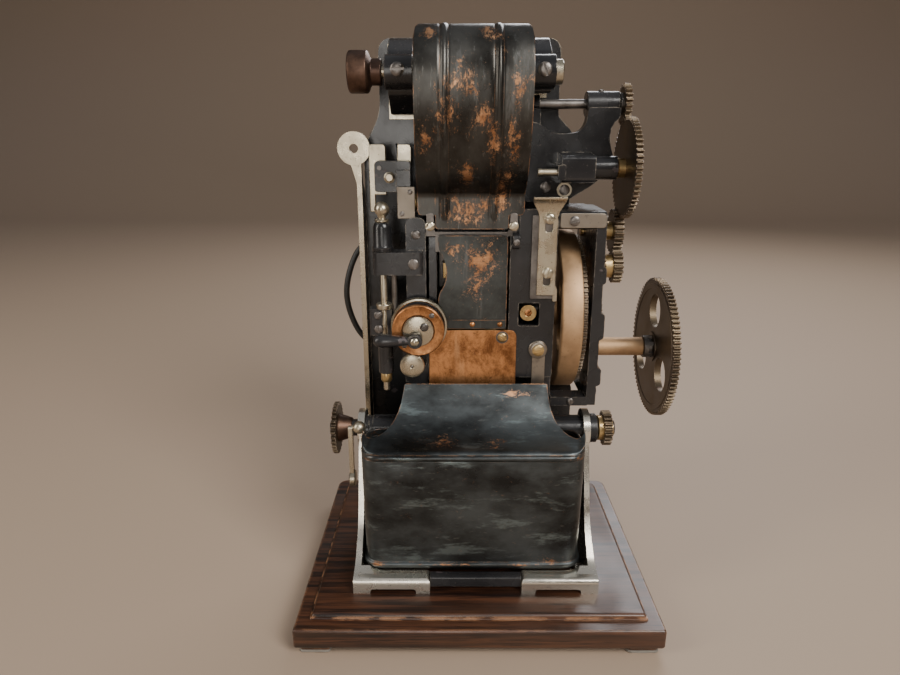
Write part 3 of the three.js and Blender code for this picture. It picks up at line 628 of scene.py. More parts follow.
def skin_sheet(bm, outer, inner):
    """Faces between the points of a bent sheet's two sides, and round its four edges."""
    columns, rows = len(outer), len(outer[0])
    for grid in (outer, inner):
        for a, b in zip(grid, grid[1:]):
            for j in range(rows - 1):
                bm.faces.new((a[j], b[j], b[j + 1], a[j + 1]))
    for i in range(columns - 1):
        for j in (0, rows - 1):
            bm.faces.new((outer[i][j], outer[i + 1][j], inner[i + 1][j], inner[i][j]))
    for i in (0, columns - 1):
        for j in range(rows - 1):
            bm.faces.new((outer[i][j], outer[i][j + 1], inner[i][j + 1], inner[i][j]))


# ---------------------------------------------------------------- fasteners

def slotted_head(radius, height, slot_angle=0.0, dome=0.35):
    """A screw head standing on the XZ plane and facing -Y, its slot turned by slot_angle."""
    rim = height * (1 - dome)
    rings = [(0.6, radius * 0.96), (-rim * 0.15, radius), (-rim, radius * 0.97)]
    for share in (0.35, 0.7, 0.92):
        rings.append((-rim - height * dome * math.sin(share * math.pi / 2),
                      radius * 0.97 * math.cos(share * math.pi / 2) ** 0.8))
    head = spun("y", rings, sides=28)
    width = radius * 0.17
    groove = block(-radius * 1.2, radius * 1.2, -height * 2, -height * 0.52, -width, width)
    head = cut(head, groove)
    bmesh.ops.rotate(head, cent=(0, 0, 0), matrix=Matrix.Rotation(slot_angle, 3, "Y"), verts=head.verts)
    return head


HEADS = {}


def screw(name, x, y, z, radius, height=None, facing="-y", body="root", material=None, turn=None):
    """A slotted screw head. Its seat is at (x, y, z), and it faces -Y, +X, -X, +Y or +Z."""
    key = round(height / radius, 2) if height else 0.6
    if key not in HEADS:
        HEADS[key] = bpy.data.meshes.new("head")
        slotted_head(1.0, key).to_mesh(HEADS[key])
    bm = bmesh.new()
    bm.from_mesh(HEADS[key])
    angle = random.uniform(0, math.pi) if turn is None else turn
    bmesh.ops.scale(bm, vec=(radius,) * 3, verts=bm.verts)
    bmesh.ops.rotate(bm, cent=(0, 0, 0), matrix=Matrix.Rotation(angle, 3, "Y"), verts=bm.verts)
    spin = {"-y": (0, "Z"), "+x": (math.pi / 2, "Z"), "+y": (math.pi, "Z"), "-x": (-math.pi / 2, "Z"),
            "+z": (-math.pi / 2, "X"), "-z": (math.pi / 2, "X")}[facing]
    bmesh.ops.rotate(bm, cent=(0, 0, 0), matrix=Matrix.Rotation(spin[0], 3, spin[1]), verts=bm.verts)
    bmesh.ops.translate(bm, vec=(x, y, z), verts=bm.verts)
    return piece(name, bm, material or STEEL, body, bevel=0)


def rivet(name, x, y, z, radius, body="root", material=None):
    dome = spun("y", [(0.4, radius), (-radius * 0.2, radius), (-radius * 0.5, radius * 0.75),
                      (-radius * 0.68, radius * 0.35)], (x, z), 16)
    bmesh.ops.translate(dome, vec=(0, y, 0), verts=dome.verts)
    return piece(name, dome, material or STEEL, body, bevel=0)


# ---------------------------------------------------------------- plinth

def plan_ring(half_x, front, back, corner, z, shift=0.0, back_corner=None):
    far = corner if back_corner is None else back_corner
    points = rounded([(shift - half_x, front, corner), (shift + half_x, front, corner),
                      (shift + half_x, back, far), (shift - half_x, back, far)], steps=7)
    return [(x, y, z) for x, y in points]


def make_plinth():
    def layer(name, node, profile, corner, bevel):
        low, high = machine_box(node)
        middle = (low.x + high.x) / 2
        half = (high.x - low.x) / 2
        rings = [plan_ring(half - i, low.y + i, high.y - i, 2, z, middle, corner) for i,
                 z in profile(low.z, high.z)]
        piece(name, loft(rings), WOOD, replaces=node, bevel=bevel)

    def board(base, top):
        return [(1.2, base), (0.3, base + 0.9), (0, base + 2), (0, top - 1.8), (0.3, top - 0.7), (1, top)]

    def panel(base, top):
        out = [(0, base), (0, base + 1.1), (0.25, base + 1.5), (1.1, base + 1.7)]
        for step in range(7):
            angle = math.pi / 2 * step / 6
            out.append((1.1 + 2.2 * (1 - math.cos(angle)),
                        base + 1.7 + (top - base - 1.7) * math.sin(angle)))
        return out

    layer("varnished_board", "plinth_board", board, 9, 0.25)
    layer("raised_panel", "plinth_panel", panel, 6, 0)
    for corner in ("front_left", "front_right", "rear_left", "rear_right"):
        low, high = machine_box(f"plinth_foot_{corner}")
        middle = (low + high) / 2
        half = (high.x - low.x) / 2
        foot = [plan_ring(half - i, middle.y - half + i, middle.y + half - i, 3, z, middle.x)
                for i, z in ((1.2, 1.9), (0.6, 2.4), (0.6, high.z))]
        piece(f"wooden_foot_{corner}", loft(foot), WOOD, replaces=f"plinth_foot_{corner}", bevel=0.2)
        pad = [plan_ring(half - i, middle.y - half + i, middle.y + half - i, 3.4, z, middle.x)
               for i, z in ((0.9, 0), (0.2, 0.5), (0, 1.1), (0.5, 1.9))]
        felt = loft(pad)
        bmesh.ops.subdivide_edges(felt, edges=felt.edges, cuts=2, use_grid_fill=True)
        for vert in felt.verts:
            if 0.1 < vert.co.z < 1.8:
                vert.co.x += random.uniform(-0.25, 0.25)
                vert.co.y += random.uniform(-0.25, 0.25)
        piece(f"felt_pad_{corner}", felt, FELT, bevel=0)


# ---------------------------------------------------------------- foot castings, tie bar and feed tube

TUBE_Y, TUBE_Z = -30, 124
TOE_FRONT, TOE_BACK = -99, -87


def curve(start, control, end, steps=10):
    """Points along a quadratic curve, without its first one."""
    out = []
    for step in range(1, steps + 1):
        t = step / steps
        out.append(tuple(a * (1 - t) ** 2 + c * 2 * t * (1 - t) + b * t * t for a, c,
                         b in zip(start, control, end)))
    return out


def make_feet():
    base = 25
    side_view = rounded([(TOE_FRONT, base), (TOE_FRONT, 35.8, 3.5), (-91, 38.4, 3), (-84, 41.5, 4),
                         (-66, 61, 12), (-51, 104, 9), (-45, TUBE_Z), (-15, TUBE_Z), (-10, 62, 18),
                         (24, 48, 6), (24, base)], steps=10)
    for tag, side in (("left", -1), ("right", 1)):
        wall_in, wall_out = (83.5, 87.5) if side < 0 else (82.5, 86.5)

        def across(a, b):
            return sorted((side * a, side * b))
        front_view = [(33, base), (33, 33.2), *curve((33, 33.2), (33, 36.4), (36.2, 36.4), 5), (68, 36.4)]
        front_view += curve((68, 36.4), (wall_in - 0.5, 37), (wall_in, 62))
        front_view += [(wall_in, 142), (wall_out, 142), (wall_out, 74)]
        front_view += curve((wall_out, 74), (wall_out, 52), (88.2, 36)) + [(88.2, base)]
        outline = [(side * x, z) for x, z in front_view]
        shell = boolean("INTERSECT", prism("y", outline, -120, 40),
                        [prism("x", side_view, *across(30, 90))])
        hollow = block(*across(20, wall_in - 0.02), TOE_BACK, 40, 20, 200)
        eye = rod("x", 15, *across(wall_in, wall_out + 1), (TUBE_Y, TUBE_Z))
        flange = prism("y",
                       rounded([(side * 75, base), (side * 75, 29, 1.5), (side * 88.2, 29, 1.5),
                                (side * 88.2, base)]),
                       TOE_BACK - 1, 14)
        arch_x = across(43, 76)
        arch = prism("y", rounded([(arch_x[0], base - 2), (arch_x[0], 28.6, 2.6), (arch_x[1], 28.6, 2.6),
                                   (arch_x[1], base - 2)]), -104, TOE_BACK + 2)
        body = cut(join(cut(shell, hollow), eye, flange), arch,
                   rod("x", 10.2, *across(70, 95), (TUBE_Y, TUBE_Z)))
        # The castings take the lighter nickel, whose paler tint is painted light.
        piece(f"foot_casting_finished_{tag}", body, NICKEL_PAINTED_LIT, replaces=f"foot_casting_{tag}",
              bevel=1.8, segments=4)
        for index, y in enumerate((-66, 2)):
            screw(f"foot_bolt_{tag}_{index + 1}", side * 79, y, 29, 3, 2.2, "+z")
    bar = prism("x", rounded([(-96, 28.6), (-88, 28.6), (-88, 36.4, 1.6), (-96, 36.4, 1.6)]), -33, 33)
    piece("tie_bar_finished", bar, ENAMEL, replaces="base_tie_bar", bevel=0.5)
    rings = [(-89.5, 6.55), (-89.5, 9.6), (-88.9, 10), (-81, 10), (-80.6, 9.4), (-78, 9.4), (-77.6, 10),
             (87.6, 10), (88, 11.2), (93.4, 11.2), (94, 10.6), (94, 6.55)]
    piece("feed_tube_finished", spun("x", rings, (TUBE_Y, TUBE_Z), hollow=True), ENAMEL,
          replaces="feed_tube", bevel=0)
    screw("tube_set_screw", 90.6, TUBE_Y, TUBE_Z + 10.9, 2, 0.9, "+z")


# ---------------------------------------------------------------- receiving box and chute cover

BOX_CORNER = 14.0


def box_ring(outset, z, taper=0.9, corner=BOX_CORNER):
    low, high = machine_box("receiving_box")
    lean = taper * (high.z - z) / (high.z - low.z)
    middle = (low.x + high.x) / 2
    half = (high.x - low.x) / 2 - lean + outset
    return plan_ring(half, low.y + lean * 0.7 - outset, high.y - lean * 0.3 + outset,
                     max(corner + outset, 1), z, middle)


def make_box():
    low, high = machine_box("receiving_box")
    outside = [(-1.6, low.z), (-0.5, low.z + 0.4), (0, low.z + 1.2)]
    for step in range(9):
        angle = math.pi * step / 8
        outside.append((0.25 + 1.5 * math.sin(angle), low.z + 4 - 2.2 * math.cos(angle)))
    outside += [(0, low.z + 6.6), (0, low.z + 30), (0, high.z - 26), (0, high.z - 1.2),
                (-0.3, high.z - 0.3), (-0.9, high.z - 0.1)]
    inside = [(-1.5, high.z - 0.3), (-1.8, high.z - 1), (-1.8, low.z + 6), (-2.2, low.z + 3),
              (-4, low.z + 2)]
    box = loft([box_ring(out, z) for out, z in outside + inside])
    piece("receiving_box_finished", box, WORN_BOX, "box", "receiving_box", bevel=0)

    skirt_top = high.z + 4.6
    skirt = [box_ring(out, z) for out,
             z in ((0, high.z + 0.1), (0, skirt_top - 0.4), (-0.4, skirt_top), (-1.2, skirt_top),
                                             (-1.6, skirt_top - 0.4), (-1.6, high.z + 0.1))]
    piece("cover_skirt", loft(skirt + [skirt[0]], cap=False), WORN_BOX, "box", bevel=0)


def make_bead():
    """The bead along the cover's front, which fades out round the corners."""
    low, high = machine_box("receiving_box")
    corner = BOX_CORNER
    path = [(low.x + corner * (1 - math.cos(a)), low.y + corner * (1 - math.sin(a)))
            for a in (math.pi / 2 * (0.3 + 0.7 * step / 8) for step in range(9))]
    across = low.x + high.x
    path += [(across - x, y) for x, y in reversed(path)]
    rings = []
    for index, (x, y) in enumerate(path):
        fade = min(1, (min(index, len(path) - 1 - index) + 0.3) / 6) ** 0.7
        ring = []
        for step in range(14):
            turn = 2 * math.pi * step / 14
            out, up = 1.5 * fade * math.cos(turn), 2.1 * fade * math.sin(turn)
            centre_x = min(max(x, low.x + corner), high.x - corner)
            away = Vector((x - centre_x, y - (low.y + corner)))
            push = away.normalized() if away.length else Vector((0, -1))
            ring.append((x + push.x * out, y + push.y * out, high.z + 1.6 + up))
        rings.append(ring)
    piece("cover_bead", loft(rings), WORN_BOX, "box", bevel=0)


def make_chute():
    """The concave cover: one bent sheet with a scooped corner on each side."""
    low, high = machine_box("receiving_box")
    corner = BOX_CORNER
    line = sheet_line([(-88, high.z + 0.6), (-88, high.z + 3.6), (-86.4, high.z + 5.8), (-80, high.z + 7.8),
                       (-72, high.z + 11.4), (-64, high.z + 17), (-56.5, high.z + 25),
                       (-50.6, high.z + 33.4), (-46.6, high.z + 41.3)], 7)
    total, on_line = walker(line)

    middle = (low.x + high.x) / 2
    half = (high.x - low.x) / 2
    narrow, arc_s, arc_high = 53.0, 58.0, 40.5
    arc = half - narrow
    top_shift = 0.35 - middle
    columns = 81
    rows = 46

    def top_of(across):
        if across <= narrow:
            edge = narrow - across
            if edge >= 3:
                return total
            low = arc_s + (total - arc_s) * 0.6
            return total - (total - low) * (1 - math.sqrt(max(0, 1 - (1 - edge / 3) ** 2)))
        return arc_s - arc_high * math.sqrt(max(0, 1 - ((narrow + arc - across) / arc) ** 2))

    def bottom_of(across):
        return 0 if across < half - 6 else 3.0 * ((across - half + 6) / 6) ** 2

    bm = bmesh.new()
    grids = []
    for offset in (0, 1.3):
        grid = []
        for i in range(columns):
            t = 2 * i / (columns - 1) - 1
            across = math.copysign(abs(t) ** 0.82 * half, t)
            column = []
            for j in range(rows):
                s0, s1 = bottom_of(abs(across)), top_of(abs(across))
                s = s0 + (s1 - s0) * j / (rows - 1)
                (y, z), (dy, dz) = on_line(s)
                flare = max(0, abs(across) - 72) ** 2 / 56 * 5.5
                into = max(0, abs(across) - (half - corner))
                back = corner - math.sqrt(max(0, corner ** 2 - into ** 2))
                y += back * max(0, 1 - s / 30)
                x = middle + across + top_shift * s / total
                column.append(bm.verts.new((x, y + dz * offset, z - dy * offset + flare)))
            grid.append(column)
        grids.append(grid)
    skin_sheet(bm, *grids)
    piece("chute_cover_finished", closed(bm), WORN_BOX, "box", "chute_cover", bevel=0)


# ---------------------------------------------------------------- back plate and its left bar

def make_plate():
    low, high = machine_box("back_plate")
    left, right, top, base = low.x, high.x, high.z, low.z
    shape = rounded([(left, base), (left, 316), (left, 335, 14), (-71.5, 352, 14), (-71.5, top, 11),
                     (62.5, top, 11), (62.5, 354, 4), (74, 343, 4), (74, 276, 3), (57, 276, 3),
                     (57, 142, 3), (right, 142, 8), (right, base)], steps=9)
    piece("back_plate_finished", prism("y", shape, low.y, high.y), ENAMEL, replaces="back_plate", bevel=1.9,
          segments=3, rim=NICKEL)
    bar = prism("x", rounded([(6, 62, 4), (24, 62, 4), (24, 300, 5), (12, 306, 6), (12, 326), (6, 326)]),
                -88.4, left)
    eye_at = (-89.8, 331.5)
    neck = prism("y", [(-88.4, 306), (-84.6, 306), (-84.6, 322), (-93, 322)], 6.4, 11.6)
    body = cut(join(bar, rod("y", 12.1, 6.2, 11.8, eye_at), neck), rod("y", 3.3, 0, 20, eye_at))
    piece("side_bar_finished", body, NICKEL, replaces="side_bar", bevel=0.7, segments=3)
    for index, z in enumerate((90, 190, 280)):
        screw(f"side_bar_screw_{index + 1}", -88.3, 15, z, 3.2, 1.6, "-x")
    for index, (x,
                z) in enumerate(((-60, 60), (60, 60), (-60, 130), (60, 130), (-52, 300), (45, 320),
                                 (-60, 396), (52, 396))):
        screw(f"plate_screw_{index + 1}", x, high.y - 0.2, z, 4, 2.2, "+y")


# ---------------------------------------------------------------- label spool

SPOOL_Y, SPOOL_Z = -28, 381


def make_spool():
    for tag in ("left", "right"):
        low, high = machine_box(f"spool_bearing_{tag}")
        outline = rounded([(24, low.z, 2), (24, high.z, 2), (-2, high.z, 5), (-20, SPOOL_Z + 13, 4),
                           (-20, SPOOL_Z - 13, 4), (-2, low.z, 5)])
        body = join(prism("x", outline, low.x, high.x),
                    rod("x", 11, low.x - 0.8, high.x + 0.8, (SPOOL_Y, SPOOL_Z)))
        body = cut(body, rod("x", 4.12, low.x - 5, high.x + 5, (SPOOL_Y, SPOOL_Z)))
        piece(f"spool_bearing_finished_{tag}", body, ENAMEL, replaces=f"spool_bearing_{tag}", bevel=0.7,
              segments=3)
        shim = block(low.x - 3.4, high.x + (1 if tag == "left" else 3), 22.6, 24, low.z - 3, high.z - 1)
        piece(f"bearing_shim_{tag}", shim, NICKEL, bevel=0.3)
        middle = (low.x + high.x) / 2
        for index, z in enumerate((SPOOL_Z + 18.5, SPOOL_Z - 19.5)):
            if z > low.z + 2:
                screw(f"bearing_screw_{tag}_{index + 1}", middle + 1.5, 4.5, z, 3.4, 2.6)
        screw(f"bearing_set_screw_{tag}", middle - 0.5, SPOOL_Y - 10.4, SPOOL_Z + 1, 4.6, 3.0)
    shaft = spun("x",
                 [(-85.6, 3.4), (-85, 4), (38, 4), (50.4, 4), (50.6, 7.4), (51.2, 8), (55.4, 8), (56, 7.4)],
                 (SPOOL_Y, SPOOL_Z))
    piece("spool_shaft_finished", shaft, NICKEL, "spool", "spool_shaft", bevel=0)
    knob = spun("x",
                [(-64, 4.2), (-64, 8.1), (-64.6, 8.5), (-70.6, 8.5), (-71.4, 9.3), (-72.6, 12.4),
                 (-73.6, 13.4), (-74.6, 13.6),
                      (-84.4, 13.6), (-85.4, 13.2), (-86, 12.2), (-86, 5.6), (-85.2, 5), (-85.2, 4.2)],
                (SPOOL_Y, SPOOL_Z), hollow=True)
    knob = cut(knob, rod("z", 2.1, SPOOL_Z + 6, SPOOL_Z + 20, (-79, SPOOL_Y), 24))
    piece("spool_knob_finished", knob, PATINA, "spool", "spool_knob", bevel=0.2)
    rings = [(-30, 9), (-30, 25.4), (-29.6, 26), (21.6, 26), (22, 25.4), (22, 9)]
    piece("label_roll_finished", spun("x", rings, (SPOOL_Y, SPOOL_Z), hollow=True), PAPER, "spool",
          "label_roll", bevel=0)
    core = spun("x", [(-31, 4.1), (-31, 8.8), (23, 8.8), (23, 4.1)], (SPOOL_Y, SPOOL_Z), hollow=True)
    piece("roll_core", core, PATINA, "spool", bevel=0.3)


# ---------------------------------------------------------------- hood

def make_hood():
    left, right, sheet = -41, 32.5, 1.6
    bulge = sheet_line([(-44.6, 407.2), (-52, 407), (-59, 404.4), (-65, 399.4), (-70, 391.6), (-72.9, 382),
                        (-73.9, 371), (-72.9, 358), (-70, 344), (-65, 331), (-58, 319), (-50, 310),
                        (-42.2, 303.8)], 7)
    line = bulge + [(-41.2, 302.6), (-40.7, 301.2), (-40.6, 299.5), (-40.6, 294), (-40.6, 288),
                    (-40.6, 284), (-40.6, 278.8)]
    total, on_line = walker(line)
    plate_end = total - 9.5

    corner, corner_drop, tongue_left, tongue_right = 12.0, 25.0, -34.0 + 5.2, 22.0
    ribs = (-22.4, 11.4)
    columns = []
    x = left
    while x <= right + 1e-6:
        columns.append(round(x, 3))
        near_rib = min(abs(x - rib) for rib in ribs) < 5.5
        x += 0.55 if near_rib else (1.1 if right - x < 14 or x - left < 14 else 2.2)
    columns = sorted(set(columns + [right, tongue_left - 0.03, tongue_left + 0.03, tongue_right - 0.03,
                                    tongue_right + 0.03]))

    def start_of(x):
        edge = min(x - left, right - x)
        drop = 1 - math.sqrt(max(0, 1 - (1 - edge / corner) ** 2)) if edge < corner else 0.0
        return corner_drop * drop

    def end_of(x):
        if tongue_left < x < tongue_right:
            edge = min(x - tongue_left, tongue_right - x)
            return total - (2 - math.sqrt(max(0, 4 - (2 - edge) ** 2)) if edge < 2 else 0)
        edge = min(x - left, right - x)
        return plate_end - (3 - math.sqrt(max(0, 9 - (3 - edge) ** 2)) if edge < 3 else 0)

    def raised(x, s):
        height = 0.0
        for rib in ribs:
            away = abs(x - rib)
            if away < 2.0:
                height = 1.1 * math.cos(away / 2.0 * math.pi / 2) ** 0.7
            elif away < 3.6:
                height = -0.35 * math.sin((away - 2.0) / 1.6 * math.pi)
        fade = min(1, max(0, (total - 6 - s) / 6), s / 14)
        return height * fade

    rows = 150
    bm = bmesh.new()
    grids = []
    for offset in (0, sheet):
        grid = []
        for x in columns:
            column = []
            s0, s1 = start_of(x), end_of(x)
            for j in range(rows):
                s = s0 + (s1 - s0) * j / (rows - 1)
                (y, z), (dy, dz) = on_line(s)
                lift = raised(x, s) - offset
                column.append(bm.verts.new((x, y + dz * lift, z - dy * lift)))
            grid.append(column)
        grids.append(grid)
    skin_sheet(bm, *grids)
    bmesh.ops.recalc_face_normals(bm, faces=bm.faces)
    piece("hood_finished", bm, WORN_HOOD, "hood_cover", "hood", bevel=0)


def make_hood_hinge():
    hinge_y, hinge_z = -36.5, 281
    barrel = washer("x", 2.6, 1.35, -29, 22, (hinge_y, hinge_z), 24)
    web = block(-29, 22, -40.4, hinge_y - 2.2, hinge_z - 1.2, hinge_z + 1.2)
    piece("hood_barrel", together(barrel, web), STEEL, "hood_cover", bevel=0.2)
    ears = []
    for x in (-35.5, 22.3):
        ear = join(rod("x", 3.2, x, x + 6.2, (hinge_y, hinge_z), 24),
                   block(x, x + 6.2, hinge_y, -33, hinge_z - 3, hinge_z + 2),
                   block(x, x + 6.2, -33.6, -32, 273, hinge_z + 2))
        ears.append(ear)
    plate = join(block(-29, 22, -33.6, -32, 262, 276), block(-35.5, 28.5, -33.6, -32, 273, 276), *ears)
    piece("hinge_plate_finished", together(plate, rod("x", 1.2, -31, 24, (hinge_y, hinge_z), 16)), STEEL,
          replaces="hood_hinge_plate", bevel=0.3)
    for index, x in enumerate((-32.4, 25.4)):
        lug = prism("y",
                    rounded([(x - 2.6, 278, 2), (x + 2.6, 278, 2), (x + 2.6, 290, 2.4),
                             (x - 2.6, 290, 2.4)]), -41.6, -39.8)
        piece(f"hinge_lug_{index + 1}", lug, STEEL, bevel=0.3)
        screw(f"hinge_screw_{index + 1}", x, -41.4, 281, 3.3, 1.9, material=NICKEL)


# ---------------------------------------------------------------- front plates and the head behind them

FEED, PRESSURE = (-12, 196), (-12, 177)


def make_front_plates():
    gate = rounded([(-27, 207, 1), (22, 207, 1), (22, 274, 5), (-27, 274, 2), (-27, 265, 4),
                    (-21.2, 255, 7), (-21.2, 240, 7), (-27, 232, 4)], steps=8)
    piece("gate_plate_finished", prism("y", gate, -38, -36), WORN_GATE, replaces="gate_plate", bevel=0.4)
    strip = prism("y", rounded([(-27, 206.4, 0.6), (22, 206.4, 0.6), (22, 213.2, 0.6), (-27, 213.2, 0.6)]),
                  -38.9, -38)
    piece("gate_strip", strip, WORN_GATE, bevel=0.25)
    for index, x in enumerate((-22.5, -2.5, 17.5)):
        rivet(f"gate_rivet_{index + 1}", x, -38.8, 209.8, 1.9, material=COPPER)
    apron = prism("y", rounded([(-34, 150, 1), (30, 150, 1), (30, 205, 6), (-34, 205, 3)], steps=8), -37.6,
                  -36.1)
    piece("copper_apron_finished", apron, COPPER, replaces="copper_apron", bevel=0.35)
    screw("apron_screw", 19.5, -37.5, 199.6, 3.5, 1.9, material=BRASS, turn=0.5)
    screw("apron_screw_low", -26, -37.5, 158, 2.6, 1.4, material=STEEL)
    ring = washer("y", 4.6, 3.1, -38.1, -37.5, (19.5, 199.6), 32)
    piece("apron_screw_washer", ring, STEEL, bevel=0.15)


def make_head():
    bores = [rod("x", 4.12, -50, 60, at, 32) for at in (FEED, PRESSURE)]
    side = rounded([(-32, 150), (24, 150), (24, 292), (-20, 292, 8), (-32, 272, 8)])
    piece("left_cheek_finished", cut(prism("x", side, -34, -28), *bores), ENAMEL, replaces="left_cheek",
          bevel=0.5)
    sleeve = [(-33, 3.9), (-26.4, 3.9), (-26.4, 8.2), (-25.8, 9), (19.4, 9), (20, 8.2), (20, 3.9)]
    piece("feed_roller_finished", spun("x", sleeve + [(48.4, 3.9), (49, 3.4)], FEED), BRASS, "feed_roll",
          "feed_roller", bevel=0.2)
    piece("pressure_roller_finished", spun("x", sleeve + [(30.6, 3.9), (31, 3.4)], PRESSURE), RUBBER,
          "pressure_roll", "pressure_roller", bevel=0.2)
    piece("embossing_platen_finished", block(-27.6, 23.6, 2, 24, 228, 264), STEEL,
          replaces="embossing_platen", bevel=0.8)
    die = together(block(-20, 16, -12, 1, 234, 258), block(-24, 20, -22, -12, 240, 252))
    piece("embossing_die_finished", die, BRASS, "die", "embossing_die", bevel=0.6)


# ---------------------------------------------------------------- guide column, slotted slide and rocker

FLYWHEEL = (15.5, 208.2)
SLIDE_SLOTS = (286, 248)      # heights of the studs in the slide's two slots
ROCKER_Y, ROCKER_Z = -22, 316


def make_column():
    face = rounded([(23.8, 168, 2), (57, 168, 2), (57, 292, 3), (30, 292, 3), (30, 274, 5), (23.8, 264, 5)])
    front = prism("y", face, -36, -31)
    bores = [rod("x", 4.12, 20, 50.6, at, 32) for at in (FEED, PRESSURE)]
    body = join(front, block(51, 57, -32, 24, 145, 292), block(24, 30, -32, 24, 150, 292))
    window = prism("y", rounded([(31, 208), (46, 208), (46, 225), (31, 225)], 1.2), -40, -28)
    body = cut(body, window, *bores, rod("x", 6.12, 40, 70, FLYWHEEL))
    piece("guide_column_finished", body, ENAMEL, replaces="guide_column", bevel=0.7, segments=3)
    backing = prism("y", rounded([(38.6, 228.5, 1), (55.2, 228.5, 1), (55.2, 288, 1), (38.6, 288, 1)]),
                    -37.3, -35.8)
    piece("slide_backing", backing, STEEL, bevel=0.35)
    hook = prism("y", rounded([(55, 226.5, 1), (58, 226.5, 1), (58, 236, 2), (55, 240, 1)]), -37.3, -34.5)
    piece("slide_hook", hook, NICKEL, bevel=0.4)
    for index, z in enumerate(SLIDE_SLOTS):
        piece(f"slide_guide_stud_{index + 1}", rod("y", 2.1, -41, -36, (50, z), 24), NICKEL, bevel=0.1)
        screw(f"slide_screw_{index + 1}", 50, -40.2, z, 3.9, 2.3, material=NICKEL)
    piece("window_bush", washer("y", 6.2, 2.6, -32.5, -24, (38.5, 216.6), 40), BRASS, bevel=0.4)
    screw("window_screw", 38.5, -30.9, 216.6, 3.4, 1.7, material=COPPER)
    stud = spun("y", [(-35.5, 6.9), (-37.2, 6.9), (-37.6, 6.5), (-37.6, 6.0), (-38.8, 6), (-39, 5.6)],
                (46, 190))
    piece("column_stud", stud, GREY_NICKEL, bevel=0.15)
    screw("column_stud_screw", 46, -38.9, 190, 4.4, 1.7, material=BRASS)
    strip = prism("y", rounded([(42, 160, 1), (51.6, 160, 1), (51.6, 186, 2), (42, 186, 2)]), -37, -35.8)
    piece("column_strip", strip, GREY_NICKEL, bevel=0.3)
    lug = prism("x", rounded([(-35.6, 264), (-40.4, 265.5, 2), (-40.4, 274, 2), (-35.6, 276)]), 25.2, 30.4)
    piece("column_lug", lug, ENAMEL, bevel=0.6)
    screw("column_lug_screw", 27.8, -40.2, 269.6, 2.3, 1.1, material=STEEL)


def make_slide():
    line = [(-39.4, 231.5), (-39.4, 287), (-39.7, 291), (-40.8, 295), (-42.4, 297.8), (-44.2, 299.6),
            (-45.8, 299.4)]
    left, right, sheet = 43, 56, 1.7
    rings = []
    for index, (y, z) in enumerate(line):
        (y0, z0), (y1, z1) = line[max(index - 1, 0)], line[min(index + 1, len(line) - 1)]
        size = math.hypot(y1 - y0, z1 - z0)
        dy, dz = (z1 - z0) / size * sheet, -(y1 - y0) / size * sheet
        spread = min(5.0, max(0, z - 289) * 0.6)
        a, b = left - spread, right + spread
        rings.append([(a, y, z), (b, y, z), (b, y + dy, z + dz), (a, y + dy, z + dz)])
    body = loft(rings)
    for z in SLIDE_SLOTS:
        low, high = z - 9.4, z + 3.6
        body = cut(body,
                   prism("y", rounded([(47.4, low, 2), (52.6, low, 2), (52.6, high, 2), (47.4, high, 2)]),
                         -50, -30))
    piece("slide_plate_finished", body, NICKEL, "slide", "slide_plate", bevel=0.35)


def make_rocker():
    arm = rounded([(-26, 314, 2), (-20, 321, 5), (-28, 322.5, 5), (-37, 318, 6), (-43.4, 307.5, 4),
                   (-44.2, 303, 1), (-38, 303, 1), (-34.5, 310, 6)], steps=8)
    body = join(prism("x", arm, 45.4, 54.6), rod("x", 5.5, 44, 56, (ROCKER_Y, ROCKER_Z)))
    body = cut(body, rod("x", 2.62, 40, 60, (ROCKER_Y, ROCKER_Z), 32))
    piece("rocker_arm_finished", body, STEEL, "rocker", "rocker_arm", bevel=0.8, segments=3)
    screw("rocker_pivot_screw", 43.8, ROCKER_Y, ROCKER_Z, 2.9, 1.2, "-x", material=NICKEL)


# ---------------------------------------------------------------- gear axes

MODULE = 1.25
TEETH = {"pinion": 16, "hub": 36, "step": 24, "lower": 19, "upper": 25, "large": 56, "top": 22, "main": 88}


def along(start, teeth, degrees):
    """The axis at the right distance for a pair of gears, turned from straight up towards the back."""
    distance = MODULE * sum(teeth) / 2
    angle = math.radians(degrees)
    return start[0] + distance * math.sin(angle), start[1] + distance * math.cos(angle)


def meshed(axis_a, axis_b, phase_a, teeth_a, teeth_b):
    """The phase that lets gear b's teeth fall between gear a's."""
    towards = math.atan2(axis_b[1] - axis_a[1], axis_b[0] - axis_a[0])
    share_b = 0.5 - (towards - phase_a) * teeth_a / (2 * math.pi)
    return towards + math.pi - share_b * 2 * math.pi / teeth_b


MAIN = along(FLYWHEEL, (TEETH["hub"], TEETH["pinion"]), 180)
LOWER_IDLER = along(FLYWHEEL, (TEETH["hub"], TEETH["step"]), -16.2)
UPPER_IDLER = along(LOWER_IDLER, (TEETH["lower"], TEETH["upper"]), 20)
UPPER = along(UPPER_IDLER, (TEETH["upper"], TEETH["large"]), -19)
TOP = along(UPPER, (TEETH["large"], TEETH["top"]), 23.6)
PHASE = {"flywheel": 0.0}
PHASE["main"] = meshed(FLYWHEEL, MAIN, 0.0, TEETH["hub"], TEETH["pinion"])
PHASE["lower"] = meshed(FLYWHEEL, LOWER_IDLER, 0.0, TEETH["hub"], TEETH["step"])
PHASE["upper"] = meshed(LOWER_IDLER, UPPER_IDLER, PHASE["lower"], TEETH["lower"], TEETH["upper"])
PHASE["large"] = meshed(UPPER_IDLER, UPPER, PHASE["upper"], TEETH["upper"], TEETH["large"])
PHASE["top"] = meshed(UPPER, TOP, PHASE["large"], TEETH["large"], TEETH["top"])


